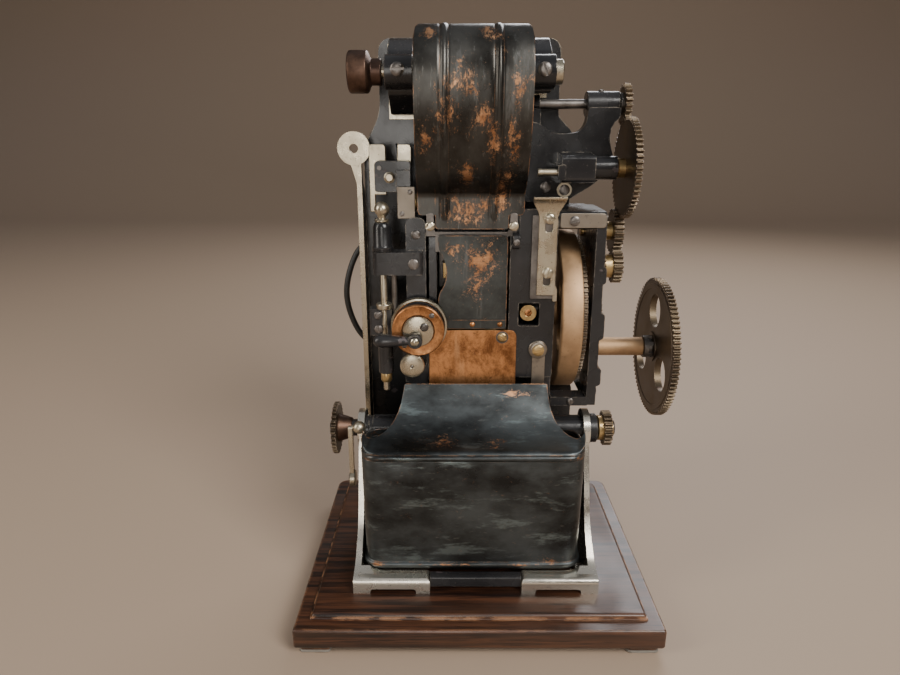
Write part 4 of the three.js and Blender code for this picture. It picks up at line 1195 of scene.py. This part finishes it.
def gear_outline(teeth, phase, centre, module=MODULE):
    """Straight-sided teeth with a rounded tip and root, one of them centred on the phase."""
    pitch = module * teeth / 2
    root, tip = pitch - 1.28 * module, pitch + 0.8 * module
    step = 2 * math.pi / teeth
    profile = [(-0.5, root), (-0.335, root), (-0.29, root + 0.25 * module), (-0.155, tip - 0.22 * module),
               (-0.10, tip), (0.10, tip), (0.155, tip - 0.22 * module), (0.29, root + 0.25 * module),
               (0.335, root)]
    points = []
    for tooth in range(teeth):
        for share, radius in profile:
            angle = phase + (tooth + share) * step
            points.append((centre[0] + radius * math.cos(angle), centre[1] + radius * math.sin(angle)))
    return points


def gear(teeth, phase, centre, low, high, module=MODULE):
    return prism("x", gear_outline(teeth, phase, centre, module), low, high)


OUTER_LOW, OUTER_HIGH = 108, 112.5
IDLER_LOW, IDLER_HIGH = 105.5, 112.5
INNER_LOW, INNER_HIGH = 94.5, 98.5
MAIN_LOW, MAIN_HIGH = 146, 151.5


def make_gears():
    wheels = (
        ("top_pinion", "top_pinion_shaft", TOP, "top", OUTER_LOW, 3.5, 38, 8, 105.4),
        ("upper_gear", "upper_gear_shaft", UPPER, "large", OUTER_LOW, 4, 84, 7, 102.9),
        ("upper_idler", "upper_idler_gear", UPPER_IDLER, "upper", IDLER_LOW, 4, 82, 7, 100.4),
    )
    for name, body, axis, key, low, shaft, start, hub, hub_start in wheels:
        piece(f"{name}_wheel", gear(TEETH[key], PHASE[key], axis, low, OUTER_HIGH), GEAR, body, name,
              bevel=0.2)
        turned = spun("x",
                      [(start, shaft - 0.4), (start + 0.4, shaft), (hub_start, shaft),
                       (hub_start, hub - 0.6),
                            (hub_start + 0.5, hub), (low + 0.2, hub), (low + 0.2, shaft),
                            (OUTER_HIGH + 0.8, shaft), (OUTER_HIGH + 1, shaft - 0.5)], axis)
        piece(f"{name}_shaft_and_hub", turned, STEEL if name == "top_pinion" else BRASS, body, bevel=0.15)
        face = spun("x",
                    [(OUTER_HIGH - 0.2, hub + 1.5), (OUTER_HIGH + 0.3, hub + 1.2),
                     (OUTER_HIGH + 0.3, shaft + 0.1),
                          (OUTER_HIGH - 0.2, shaft + 0.1)], axis, hollow=True)
        piece(f"{name}_raised_face", face, GEAR, body, bevel=0.15)
        screw(f"{name}_end_screw", OUTER_HIGH + 0.8, *axis, shaft - 0.5, 0.9, "+x", body, STEEL)
    wheel = together(gear(TEETH["lower"], PHASE["lower"], LOWER_IDLER, IDLER_LOW, IDLER_HIGH),
                     gear(TEETH["step"], PHASE["lower"], LOWER_IDLER, INNER_LOW, INNER_HIGH))
    piece("lower_idler_wheels", wheel, GEAR, "lower_idler_gear", "lower_idler", bevel=0.2)
    turned = spun("x",
                  [(82, 3.6), (82.4, 4), (INNER_HIGH - 0.2, 4), (INNER_HIGH - 0.2, 8.6),
                   (INNER_HIGH + 0.3, 9),
                        (IDLER_LOW + 0.2, 9), (IDLER_LOW + 0.2, 4), (IDLER_HIGH + 0.8, 4),
                        (IDLER_HIGH + 1, 3.5)], LOWER_IDLER)
    piece("lower_idler_sleeve", turned, BRASS, "lower_idler_gear", bevel=0.15)
    screw("lower_idler_end_screw", IDLER_HIGH + 0.8, *LOWER_IDLER, 3.5, 0.9, "+x", "lower_idler_gear",
          STEEL)

    shaft = spun("x", [(40.5, 5.5), (41, 6), (99.4, 6), (100, 5.4)], FLYWHEEL)
    piece("flywheel_shaft_turned", shaft, STEEL, "flywheel_train", bevel=0)
    hub_gear = gear(TEETH["hub"], 0.0, FLYWHEEL, INNER_LOW, INNER_HIGH)
    piece("flywheel_hub_gear", hub_gear, GEAR, "flywheel_train", "flywheel_shaft", bevel=0.2)


def make_flywheel():
    rim = spun("x",
               [(61.7, 53.5), (61.7, 60.8), (62.3, 61.7), (63, 62), (75.7, 62), (76.4, 61.7), (77, 60.8),
                (77, 53.5),
                     (76.4, 53), (73.6, 51.6), (73.2, 50), (73.2, 15.5), (74, 14.4), (76.4, 13.6),
                     (77, 12.8), (77, 6.05), (60.4, 6.05), (60.4, 12.8), (61, 13.6), (64.8, 14.4),
                     (65.4, 15.5), (65.4, 50), (65, 51.6), (62.3, 53)],
               FLYWHEEL, 112, hollow=True)
    eyes = []
    for index in range(5):
        angle = index * 2 * math.pi / 5
        centre = (FLYWHEEL[0] + 33 * math.cos(angle), FLYWHEEL[1] + 33 * math.sin(angle))
        eyes.append(rod("x", 10, 60, 80, centre, 40))
    piece("flywheel_turned", cut(rim, *eyes), BRONZE, "flywheel_train", "flywheel", bevel=0.3)
    teeth = 96
    outer, inner, root = 58.5, 50, 56.9
    outline = []
    step = 2 * math.pi / teeth
    for tooth in range(teeth):
        for share, radius in ((-0.5, root), (-0.33, root), (-0.17, outer), (0.17, outer), (0.33, root)):
            angle = (tooth + share) * step
            outline.append((FLYWHEEL[0] + radius * math.cos(angle), FLYWHEEL[1] + radius * math.sin(angle)))
    ring = cut(prism("x", outline, 77.2, 80.5), rod("x", inner, 70, 90, FLYWHEEL, 96))
    piece("ring_gear_cut", ring, GEAR, "flywheel_train", "ring_gear", bevel=0.15)
    for index in range(6):
        angle = index * math.pi / 3 + 0.3
        screw(f"ring_gear_screw_{index + 1}", 80.4, FLYWHEEL[0] + 53 * math.cos(angle),
              FLYWHEEL[1] + 53 * math.sin(angle), 2, 0.8, "+x", "flywheel_train", STEEL)


def make_main_drive():
    holes = []
    for degrees in (90, 210, 330):
        angle = math.radians(degrees)
        centre = (MAIN[0] + 30 * math.cos(angle), MAIN[1] + 30 * math.sin(angle))
        holes.append(rod("x", 13.5, MAIN_LOW - 8, MAIN_HIGH + 6, centre, 56))
    bore = rod("x", 6.05, MAIN_LOW - 8, MAIN_HIGH + 6, MAIN)
    wheel = cut(gear(TEETH["main"], 0.0, MAIN, MAIN_LOW, MAIN_HIGH), *holes, bore)
    piece("main_gear_cut", wheel, GEAR, "main_drive", "main_gear", bevel=0.25)
    for side, low, high in (("left", MAIN_LOW - 0.9, MAIN_LOW + 0.2),
                            ("right", MAIN_HIGH - 0.2, MAIN_HIGH + 0.9)):
        piece(f"main_gear_boss_{side}", washer("x", 12.2, 6.05, low, high, MAIN), GEAR, "main_drive",
              bevel=0.3)
        rim_low = low + 0.5 if side == "left" else low
        rim = washer("x", 51.4, 47.6, rim_low, rim_low + 0.6, MAIN, 96)
        piece(f"main_gear_rim_{side}", rim, GEAR, "main_drive", bevel=0.15)
    shaft = spun("x", [(82, 5.5), (82.5, 6), (99.5, 6), (99.5, 6.9), (100, 7.4), (137.4, 7.4), (138, 7)],
                 MAIN)
    piece("main_shaft_turned", shaft, BRONZE, "main_drive", "main_shaft", bevel=0.15)
    piece("main_shaft_end", spun("x", [(137.9, 6), (152.4, 6), (153, 5.4)], MAIN), STEEL, "main_drive",
          bevel=0.1)
    screw("main_shaft_screw", 152.2, *MAIN, 3.6, 0.8, "+x", "main_drive", STEEL)
    dogs = []
    for index in range(6):
        dog = block(141.6, MAIN_LOW + 0.1, -1.7, 1.7, 6.4, 9)
        bmesh.ops.rotate(dog, cent=(0, 0, 0), matrix=Matrix.Rotation(index * math.pi / 3, 3, "X"),
                         verts=dog.verts)
        bmesh.ops.translate(dog, vec=(0, *MAIN), verts=dog.verts)
        dogs.append(dog)
    collar = spun("x",
                  [(138, 6.1), (138, 8.5), (138.5, 9), (141.9, 9), (142, 7.6), (144.6, 7.6), (144.6, 6.1)],
                  MAIN, hollow=True)
    piece("dog_collar", together(collar, *dogs), STEEL, "main_drive", bevel=0.3)
    piece("main_pinion_cut", gear(TEETH["pinion"], PHASE["main"], MAIN, INNER_LOW, INNER_HIGH), GEAR,
          "main_drive", bevel=0.2)


# ---------------------------------------------------------------- upper arm casting and gear bracket

def make_upper_arm():
    web = rounded([(34, 294, 2), (60, 292), (70, 295, 4), (92, 309, 8), (102, 323, 6), (97, 335, 8),
                   (98, 348, 5), (104, 353, 2), (104, 360, 2), (81, 360, 2), (79, 345, 7), (71, 342, 5),
                   (56, 342, 5), (44, 350, 5), (34, 350, 2)], steps=8)
    body = join(prism("y", web, 2, 12),
                spun("x", [(81, 8.4), (81.6, 9), (104.4, 9), (105, 8.4)], TOP),
                spun("x", [(82, 7.9), (82.6, 8.5), (101.9, 8.5), (102.4, 8)], UPPER),
                prism("x", rounded([(-20, 309, 3), (3, 307), (3, 329), (-20, 327, 3)]), 60, 84),
                block(34, 57.6, 11, 24, 297, 341),
                block(56.6, 62, -26, 3, 311, 321),
                rod("x", 6.5, 34, 47, TOP),
                block(34, 47, 6, 24, 346, 359))
    body = cut(body, rod("x", 3.62, 30, 110, TOP), rod("x", 4.12, 70, 110, UPPER))
    piece("upper_arm_finished", body, ENAMEL, replaces="upper_arm", bevel=1.0, segments=3)
    piece("rocker_pin", rod("x", 2.5, 43.6, 58, (ROCKER_Y, ROCKER_Z), 32), NICKEL, bevel=0.2)
    for name, axis, shaft, outer, low in (("top_bush", TOP, 3.6, 6.2, 105),
                                          ("upper_bush", UPPER, 4.1, 7, 102.35)):
        ring = washer("x", outer, shaft, low, low + 0.45, axis)
        piece(name, ring, BRASS, bevel=0.1)
    screw("upper_arm_screw", 52, 2.2, 304, 4, 2.4)
    screw("upper_arm_oil_screw", 92, TOP[0], TOP[1] + 8.9, 2.2, 1.2, "+z")
    piece("upper_arm_washer", washer("y", 5.6, 3.8, 1.2, 2, (66, 302), 32), NICKEL, bevel=0.2)
    screw("upper_arm_front_screw", 66, 1.8, 302, 4, 2.2)


def make_bracket():
    shape = rounded([(-36, 145, 2), (24, 145), (36, 150, 5), (38, 264, 6), (24, 290, 9), (-36, 290, 7)],
                    steps=8)
    body = join(prism("x", shape, 84, 91),
                prism("x", rounded([(-36, 278, 3), (24, 278), (24, 290), (-36, 290, 5)]), 57.2, 85),
                block(57.2, 85, -36, -22, 145, 152),
                spun("x", [(90, 10), (93, 10), (93.6, 9.4)], MAIN),
                spun("x", [(90, 8), (93, 8), (93.6, 7.4)], LOWER_IDLER),
                spun("x", [(90, 8), (99.4, 8), (99.9, 7.4)], UPPER_IDLER),
                prism("y", rounded([(90, 160), (94, 162, 1.5), (94, 174, 1.5), (90, 176)]), -36, -24),
                prism("y", rounded([(90, 196), (94, 198, 1.5), (94, 216, 1.5), (90, 218)]), -36, -24),
                prism("y", rounded([(90, 238), (93, 239.5, 1.5), (93, 250.5, 1.5), (90, 252)]), -36, -24))
    bores = ((FLYWHEEL, 6.12), (MAIN, 6.12), (LOWER_IDLER, 4.12), (UPPER_IDLER, 4.12))
    body = cut(body, *(rod("x", radius, 80, 104, axis) for axis, radius in bores))
    piece("gear_bracket_finished", body, ENAMEL, replaces="gear_bracket", bevel=1.0, segments=3)
    top = prism("y", rounded([(58, 279, 2), (90.6, 279, 3), (90.6, 289.4, 4), (58, 289.4, 2)]), -36.9,
                -35.8)
    piece("bracket_top_face", top, GREY_NICKEL, bevel=0.5)
    for name, axis, inner, outer, low in (("main_bush", MAIN, 6.1, 8.4, 93.6),
                                          ("lower_idler_bush", LOWER_IDLER, 4.1, 6.6, 93.6)):
        piece(name, washer("x", outer, inner, low, low + 0.7, axis), BRASS, bevel=0.15)
    screw("bracket_side_screw_1", 90.8, -27, 220, 4, 2.2, "+x")
    screw("bracket_side_screw_2", 90.8, -20, 274, 4, 2.2, "+x")
    screw("bracket_side_screw_3", 90.8, -27, 154, 4, 2.2, "+x")
    screw("bracket_face_screw", 68, -36.8, 284, 3.6, 1.8)
    screw("bracket_low_screw", 72, -35.8, 148.6, 2.6, 1.6)


# ---------------------------------------------------------------- lower shaft, toothed disc and detent lever

def make_lower_shaft():
    axis = (TUBE_Y, TUBE_Z)
    shaft = spun("x", [(-111, 5.6), (-110.2, 6.4), (107.2, 6.4), (108, 5.6)], axis)
    piece("lower_shaft_turned", shaft, STEEL, "lower_shaft_set", "lower_shaft", bevel=0)
    wheel = cut(gear(20, 0.0, axis, 99, 105), rod("x", 6.45, 80, 120, axis))
    piece("lower_pinion_wheel", wheel, GEAR, "lower_shaft_set", "lower_pinion", bevel=0.25)
    collar = spun("x", [(95, 6.45), (95, 9), (95.5, 9.5), (99.1, 9.5), (99.1, 6.45)], axis, hollow=True)
    outer = spun("x", [(104.9, 6.45), (104.9, 8), (105.3, 8.5), (106, 8.5), (106.5, 8), (106.5, 6.45)],
                 axis, hollow=True)
    piece("lower_pinion_collars", together(collar, outer), BRASS, "lower_shaft_set", bevel=0.15)
    screw("lower_shaft_end_screw", 107.6, *axis, 3.6, 0.9, "+x", "lower_shaft_set", STEEL)
    teeth, root, tip = 30, 17.3, 20
    outline = []
    for tooth in range(teeth):
        for share, radius in ((-0.5, root), (-0.36, root + 0.3), (-0.22, tip - 0.6), (-0.1, tip),
                              (0.1, tip), (0.22, tip - 0.6), (0.36, root + 0.3)):
            angle = (tooth + share) * 2 * math.pi / teeth
            outline.append((axis[0] + radius * math.cos(angle), axis[1] + radius * math.sin(angle)))
    disc = cut(prism("x", outline, -108, -104.5), rod("x", 6.45, -120, -80, axis))
    piece("ratchet_wheel_cut", disc, GEAR, "lower_shaft_set", "ratchet_wheel", bevel=0.45)
    cone = spun("x",
                [(-104.8, 6.45), (-104.8, 10.8), (-104, 11), (-103, 10.4), (-95.4, 8), (-94.2, 7.4),
                 (-94, 6.45)],
                axis, hollow=True)
    piece("ratchet_cone", cone, PATINA, "lower_shaft_set", bevel=0.2)
    face = spun("x", [(-108.7, 8.4), (-108.7, 13.6), (-108.2, 14.4), (-107.8, 14.4), (-107.8, 8.4)], axis,
                hollow=True)
    piece("ratchet_face_ring", face, GEAR, "lower_shaft_set", bevel=0.15)


def make_detent():
    bar = rounded([(-58, 90, 2), (-52, 90, 2), (-50, 135, 2.5), (-56, 137, 2.5)], steps=6)
    body = join(prism("x", bar, -93.6, -90.6),
                spun("x", [(-93.6, 5.4), (-93.2, 6), (-90, 6), (-89.6, 5.4)], (-55, 94)))
    piece("detent_bar", body, NICKEL, "detent", "detent_lever", bevel=0.6, segments=3)
    screw("detent_pivot_screw", -93.4, -55, 94, 3.8, 1.2, "-x", "detent", STEEL)
    stem = spun("x", [(-91.2, 1.8), (-89.2, 1.8), (-88.8, 2.6), (-87.8, 2.6), (-86.6, 1.9)], (-54, 135))
    piece("detent_stem", stem, NICKEL, "detent", bevel=0.1)
    piece("detent_knob", ball(4.8, (-85.7, -54, 135)), NICKEL, "detent", bevel=0)


# ---------------------------------------------------------------- left stack: plunger, pin block, lift bar

PLUNGER_X, PLUNGER_Y = -66, -36


def make_left_stack():
    x, y = PLUNGER_X, PLUNGER_Y
    dial_bore = rod("y", 5.12, -70, -10, (DIAL_X, DIAL_Z), 32)
    button_bore = rod("y", 5.12, -60, 10, (BUTTON_X, BUTTON_Z), 32)
    column = prism("y", rounded([(-50, 150, 2), (-35.8, 150, 2), (-35.8, 286, 6), (-50, 286, 6)]), -34, 24)
    arm = prism("z", rounded([(x - 6.6, y - 8, 3), (-38, y - 8, 2), (-38, y + 8, 2), (x - 6.6, y + 8, 3)]),
                247, 263)
    clamp = prism("z", rounded([(x - 11, y - 2, 2), (-61, y - 2), (-61, y + 8), (x - 11, y + 8, 2)]), 201,
                  221)
    body = join(column, arm, clamp, block(-63, -45, -33, y + 8, 201, 221),
                spun("z", [(172, 4.9), (172.6, 5.5), (200, 5.5), (202, 5.5)], (x, y)),
                rod("y", 9, -33, 24, (BUTTON_X, BUTTON_Z), 40), block(-52, -34.3, -34, 24, 163, 203))
    body = cut(body, rod("z", 2.52, 140, 300, (x, y), 32), dial_bore, button_bore,
               rod("y", 10, -40, -26, (BUTTON_X, BUTTON_Z), 40))
    piece("plunger_bracket_finished", body, ENAMEL, replaces="plunger_bracket", bevel=1.0, segments=3)
    barrel = [(263, 2.55), (263, 7.1), (263.6, 7.5), (265.6, 7.5), (266.2, 6.9), (267, 6.5), (279.4, 6.5),
              (280.6, 6.2), (282.2, 5.7), (283, 4.9), (283, 2.55)]
    piece("plunger_barrel_finished", spun("z", barrel, (x, y), hollow=True), ENAMEL,
          replaces="plunger_barrel", bevel=0)
    piece("plunger_rod_turned", spun("z", [(158, 1.9), (158.6, 2.4), (288, 2.4), (289, 2)], (x, y), 32),
          NICKEL, "plunger", "plunger_rod", bevel=0)
    ball_z, ball_r = 292, 5.25
    ball_profile = [(283.3, 2.5), (283.3, 4.5), (283.7, 4.9), (284.7, 4.9), (285.2, 4.4), (285.4, 3.4),
                    (286, 2.8), (286.8, 2.9)]
    for step in range(1, 14):
        angle = -math.pi / 2 + 0.55 + (math.pi - 0.55) * step / 14
        ball_profile.append((ball_z + ball_r * math.sin(angle), ball_r * math.cos(angle)))
    ball_profile.append((ball_z + ball_r, 0.25))
    piece("plunger_knob_turned", spun("z", ball_profile, (x, y)), NICKEL, "plunger", "plunger_knob",
          bevel=0)
    tip = spun("z", [(165, 2.5), (165, 3.4), (166.4, 4.2), (171.4, 4.2), (172, 3.9), (172, 2.5)], (x, y),
               hollow=True)
    piece("plunger_tip_bush", tip, BRASS, bevel=0.1)
    collar = spun("z", [(221, 2.55), (221, 5.6), (221.6, 6), (224.4, 6), (225, 5.6), (225, 2.55)], (x, y),
                  hollow=True)
    piece("clamp_collar", collar, NICKEL, bevel=0.2)
    piece("clamp_rod", rod("z", 2.1, 217, 248.5, (x + 7.4, y + 1), 32), STEEL, bevel=0.1)
    screw("clamp_screw_1", x - 4.6, y - 1.8, 216.4, 3, 1.6)
    screw("clamp_screw_2", x - 4.6, y - 1.8, 206, 3, 1.6)
    screw("arm_screw", -44, y - 7.8, 255, 3.8, 2.1)
    screw("bracket_column_screw", -42.8, -33.8, 274, 3.4, 1.8)


def make_pin_block():
    body = join(prism("y", rounded([(-71, 303, 2), (-46, 303), (-46, 324, 3), (-71, 324, 3)]), -30, -18),
                block(-56, -46, -31, 24, 303, 318))
    piece("pin_block_finished", body, ENAMEL, replaces="pin_block", bevel=0.9, segments=3)
    pin = spun("y", [(-29.6, 3.9), (-30.6, 3.9), (-31, 3.5), (-31.2, 3), (-32.4, 2.9), (-33, 2.3)],
               (-60.5, 313), 32)
    piece("block_pin", pin, NICKEL, bevel=0.1)
    piece("block_set_pin", rod("y", 1.5, -30.8, -29, (-67.4, 319.4), 20), STEEL, bevel=0.15)
    bar = prism("y",
                rounded([(-76, 288, 1), (-72, 288, 1), (-72, 300), (-64, 300, 1), (-64, 319), (-46, 319),
                         (-46, 335, 3),
                              (-54.6, 335, 3), (-56, 335, 0), (-56, 323, 2), (-64, 323, 2), (-64, 335, 3),
                              (-76, 335, 3)]),
                -17.6, -13.6)
    piece("lift_bar_finished", bar, NICKEL, "lifter", "lift_bar", bevel=0.6, segments=3)
    plate = prism("y", rounded([(-55.4, 285, 1), (-43, 285, 1), (-43, 307, 1), (-55.4, 307, 1)]), -33,
                  -31.6)
    piece("worn_cover_plate", plate, GREY_NICKEL, bevel=0.4)
    screw("cover_plate_screw_1", -52.2, -32.9, 288.4, 1.8, 0.9)
    screw("cover_plate_screw_2", -46.4, -32.9, 303.4, 1.8, 0.9)
    rollers = [(-49, 2), (-49, 4.1), (-48.6, 4.5), (-46.4, 4.5), (-46, 5.6), (-45.6, 6), (-42.4, 6),
               (-42, 5.6), (-41.8, 4.5), (-38.4, 4.5), (-38, 4.9), (-35, 4.9), (-34.6, 4.5), (-30.4, 4.5),
               (-30, 4.1), (-30, 2)]
    piece("roller_stack_turned", spun("x", rollers, (-24, 296), hollow=True), BRASS,
          replaces="roller_stack", bevel=0.15)
    piece("roller_stack_pin", rod("x", 2, -50.4, -29, (-24, 296), 24), STEEL, bevel=0.2)


# ---------------------------------------------------------------- dial, crank and push button

def make_dial():
    centre = (DIAL_X, DIAL_Z)
    disc = spun("y", [(-42, 5.12), (-42, 17.6), (-41.2, 18.3), (-38.5, 18.3), (-38.5, 5.12)], centre, 72,
                hollow=True)
    piece("dial_disc_face", disc, ENAMEL, replaces="dial_disc", bevel=0.15)
    rim = spun("y",
               [(-42.4, 18.2), (-42.9, 18.9), (-42.6, 20.1), (-41.6, 20.5), (-38.7, 20.5), (-38.5, 18.2)],
               centre, 72, hollow=True)
    piece("dial_rim", rim, NICKEL, bevel=0)
    cup = [(-54.3, 11.6), (-54.3, 16.6), (-54.7, 17.8), (-54.1, 18.5), (-50.8, 18.5), (-50.4, 17.6),
           (-50.4, 10), (-42.2, 10), (-42.2, 5.05), (-53.2, 5.05), (-53.2, 11.2)]
    piece("copper_ring_turned", spun("y", cup, centre, 72, hollow=True), COPPER, "dial", "copper_ring",
          bevel=0.15)
    for index, (dx, dz) in enumerate(((9.6, 11.0), (-9.8, -10.8))):
        screw(f"copper_ring_screw_{index + 1}", DIAL_X + dx, -54.2, DIAL_Z + dz, 1.9, 1.0, body="dial",
              material=STEEL)
    hub = spun("y",
               [(-57.2, 0.01), (-57.2, 9.4), (-56.8, 10.6), (-56.2, 11), (-54.2, 11), (-54, 10.4), (-54, 5),
                (-20.4, 5), (-20, 4.6)], centre, 56)
    piece("dial_hub_turned", hub, NICKEL, "dial", "dial_hub", bevel=0)
    screw("dial_hub_screw", DIAL_X + 4.4, -57.1, DIAL_Z + 3.6, 3.1, 1.7, body="dial", material=STEEL,
          turn=2.5)
    eye = (DIAL_X - 2, DIAL_Z - 5.4)
    ring = spun("y",
                [(-64, 2), (-64, 4.5), (-63.4, 5.1), (-62, 5.3), (-58.6, 5.1), (-57.2, 4.6), (-57.2, 2)],
                eye, 40, hollow=True)
    handle = spun("x",
                  [(-31, 0.6), (-30.8, 1.7), (-30, 2.9), (-28.6, 3.9), (-26.6, 4.5), (-23, 4.7), (-18, 4.4),
                   (-13, 3.7), (-8.5, 3.1),
                        (-4.6, 3.0), (-3, 2.6)], (-61, DIAL_Z - 5.4), 36)
    bmesh.ops.translate(handle, vec=(DIAL_X, 0, 0), verts=handle.verts)
    piece("dial_crank_handle", join(ring, handle), ENAMEL, "dial", "dial_crank", bevel=0)
    dome = spun("y", [(-57.3, 2.1), (-63.4, 2.1), (-63.6, 3.1), (-64.4, 3), (-65.2, 2.2), (-65.6, 0.9)],
                eye, 32)
    piece("crank_pivot", dome, NICKEL, "dial", bevel=0.1)
    button = [(-47.1, 4.95), (-47.1, 8.6), (-47.5, 9), (-48.8, 9), (-49.6, 8.6), (-50.2, 7.4), (-50.6, 5),
              (-50.7, 1.6), (-50.3, 1.1), (-50.2, 0.1)]
    button = [(-20, 4.4), (-20.4, 4.95)] + button
    piece("release_button_turned", spun("y", button, (BUTTON_X, BUTTON_Z), 48), NICKEL, "button",
          "release_button", bevel=0)
    tip = spun("y", [(-50, 0.9), (-50.8, 0.9), (-51.1, 0.5)], (BUTTON_X, BUTTON_Z), 20)
    piece("button_centre", tip, STEEL, "button", bevel=0)


# ---------------------------------------------------------------- lead behind the left edge

def tube_mesh(points, radius, sides=14):
    bm = bmesh.new()
    frames = []
    up = Vector((0, 1, 0))
    for index, point in enumerate(points):
        ahead = (points[min(index + 1, len(points) - 1)] - points[max(index - 1, 0)]).normalized()
        side = ahead.cross(up).normalized()
        up = side.cross(ahead).normalized()
        frames.append((point, side, up))
    rings = []
    for point, side, high in frames:
        ring = []
        for step in range(sides):
            angle = 2 * math.pi * step / sides
            out, up = radius * math.cos(angle), radius * math.sin(angle)
            ring.append(bm.verts.new(point + side * out + high * up))
        rings.append(ring)
    for low, high in zip(rings, rings[1:]):
        for i in range(sides):
            j = (i + 1) % sides
            bm.faces.new((low[i], low[j], high[j], high[i]))
    bm.faces.new(rings[0])
    bm.faces.new(rings[-1])
    return closed(bm)


def make_lead():
    rear = 38
    route = [(-60, rear, 262), (-78, rear + 1, 262), (-94, rear - 2, 250), (-103, rear - 5, 226),
             (-103, rear - 5, 204), (-94, rear - 2, 180), (-78, rear + 1, 168), (-60, rear, 168)]
    points = [Vector(p) for p in sheet_line(route, 8)]
    piece("lead_insulation", tube_mesh(points, 2.4), RUBBER, replaces="lead_loop", bevel=0)
    for tag, z in (("upper", 262), ("lower", 168)):
        post = join(prism("x", rounded([(30, z - 7, 1), (44, z - 7, 3), (44, z + 7, 3), (30, z + 7, 1)]),
                          -60, -44))
        sleeve = spun("x", [(-64.5, 2.5), (-64.5, 3.3), (-63.8, 3.8), (-60, 4), (-59.4, 4), (-59.4, 2.5)],
                      (rear, z), 32, hollow=True)
        piece(f"lead_terminal_{tag}", post, ENAMEL, replaces=("lead_terminals",) if tag == "upper" else (),
              bevel=0.7)
        piece(f"lead_ferrule_{tag}", sleeve, BRASS, bevel=0.1)
        screw(f"terminal_screw_{tag}", -52, 43.8, z, 3.2, 1.8, "+y", material=BRASS)
    piece("lead_bridge", block(-56, -48, 30, 36, 168, 262), ENAMEL, bevel=0.6)


make_camera()
make_floor()
make_lights()
make_world()
make_plinth()
make_feet()
make_box()
make_bead()
make_chute()
make_plate()
make_spool()
make_hood()
make_hood_hinge()
make_front_plates()
make_head()
make_column()
make_slide()
make_rocker()
make_upper_arm()
make_bracket()
make_gears()
make_flywheel()
make_main_drive()
make_lower_shaft()
make_detent()
make_left_stack()
make_pin_block()
make_dial()
make_lead()
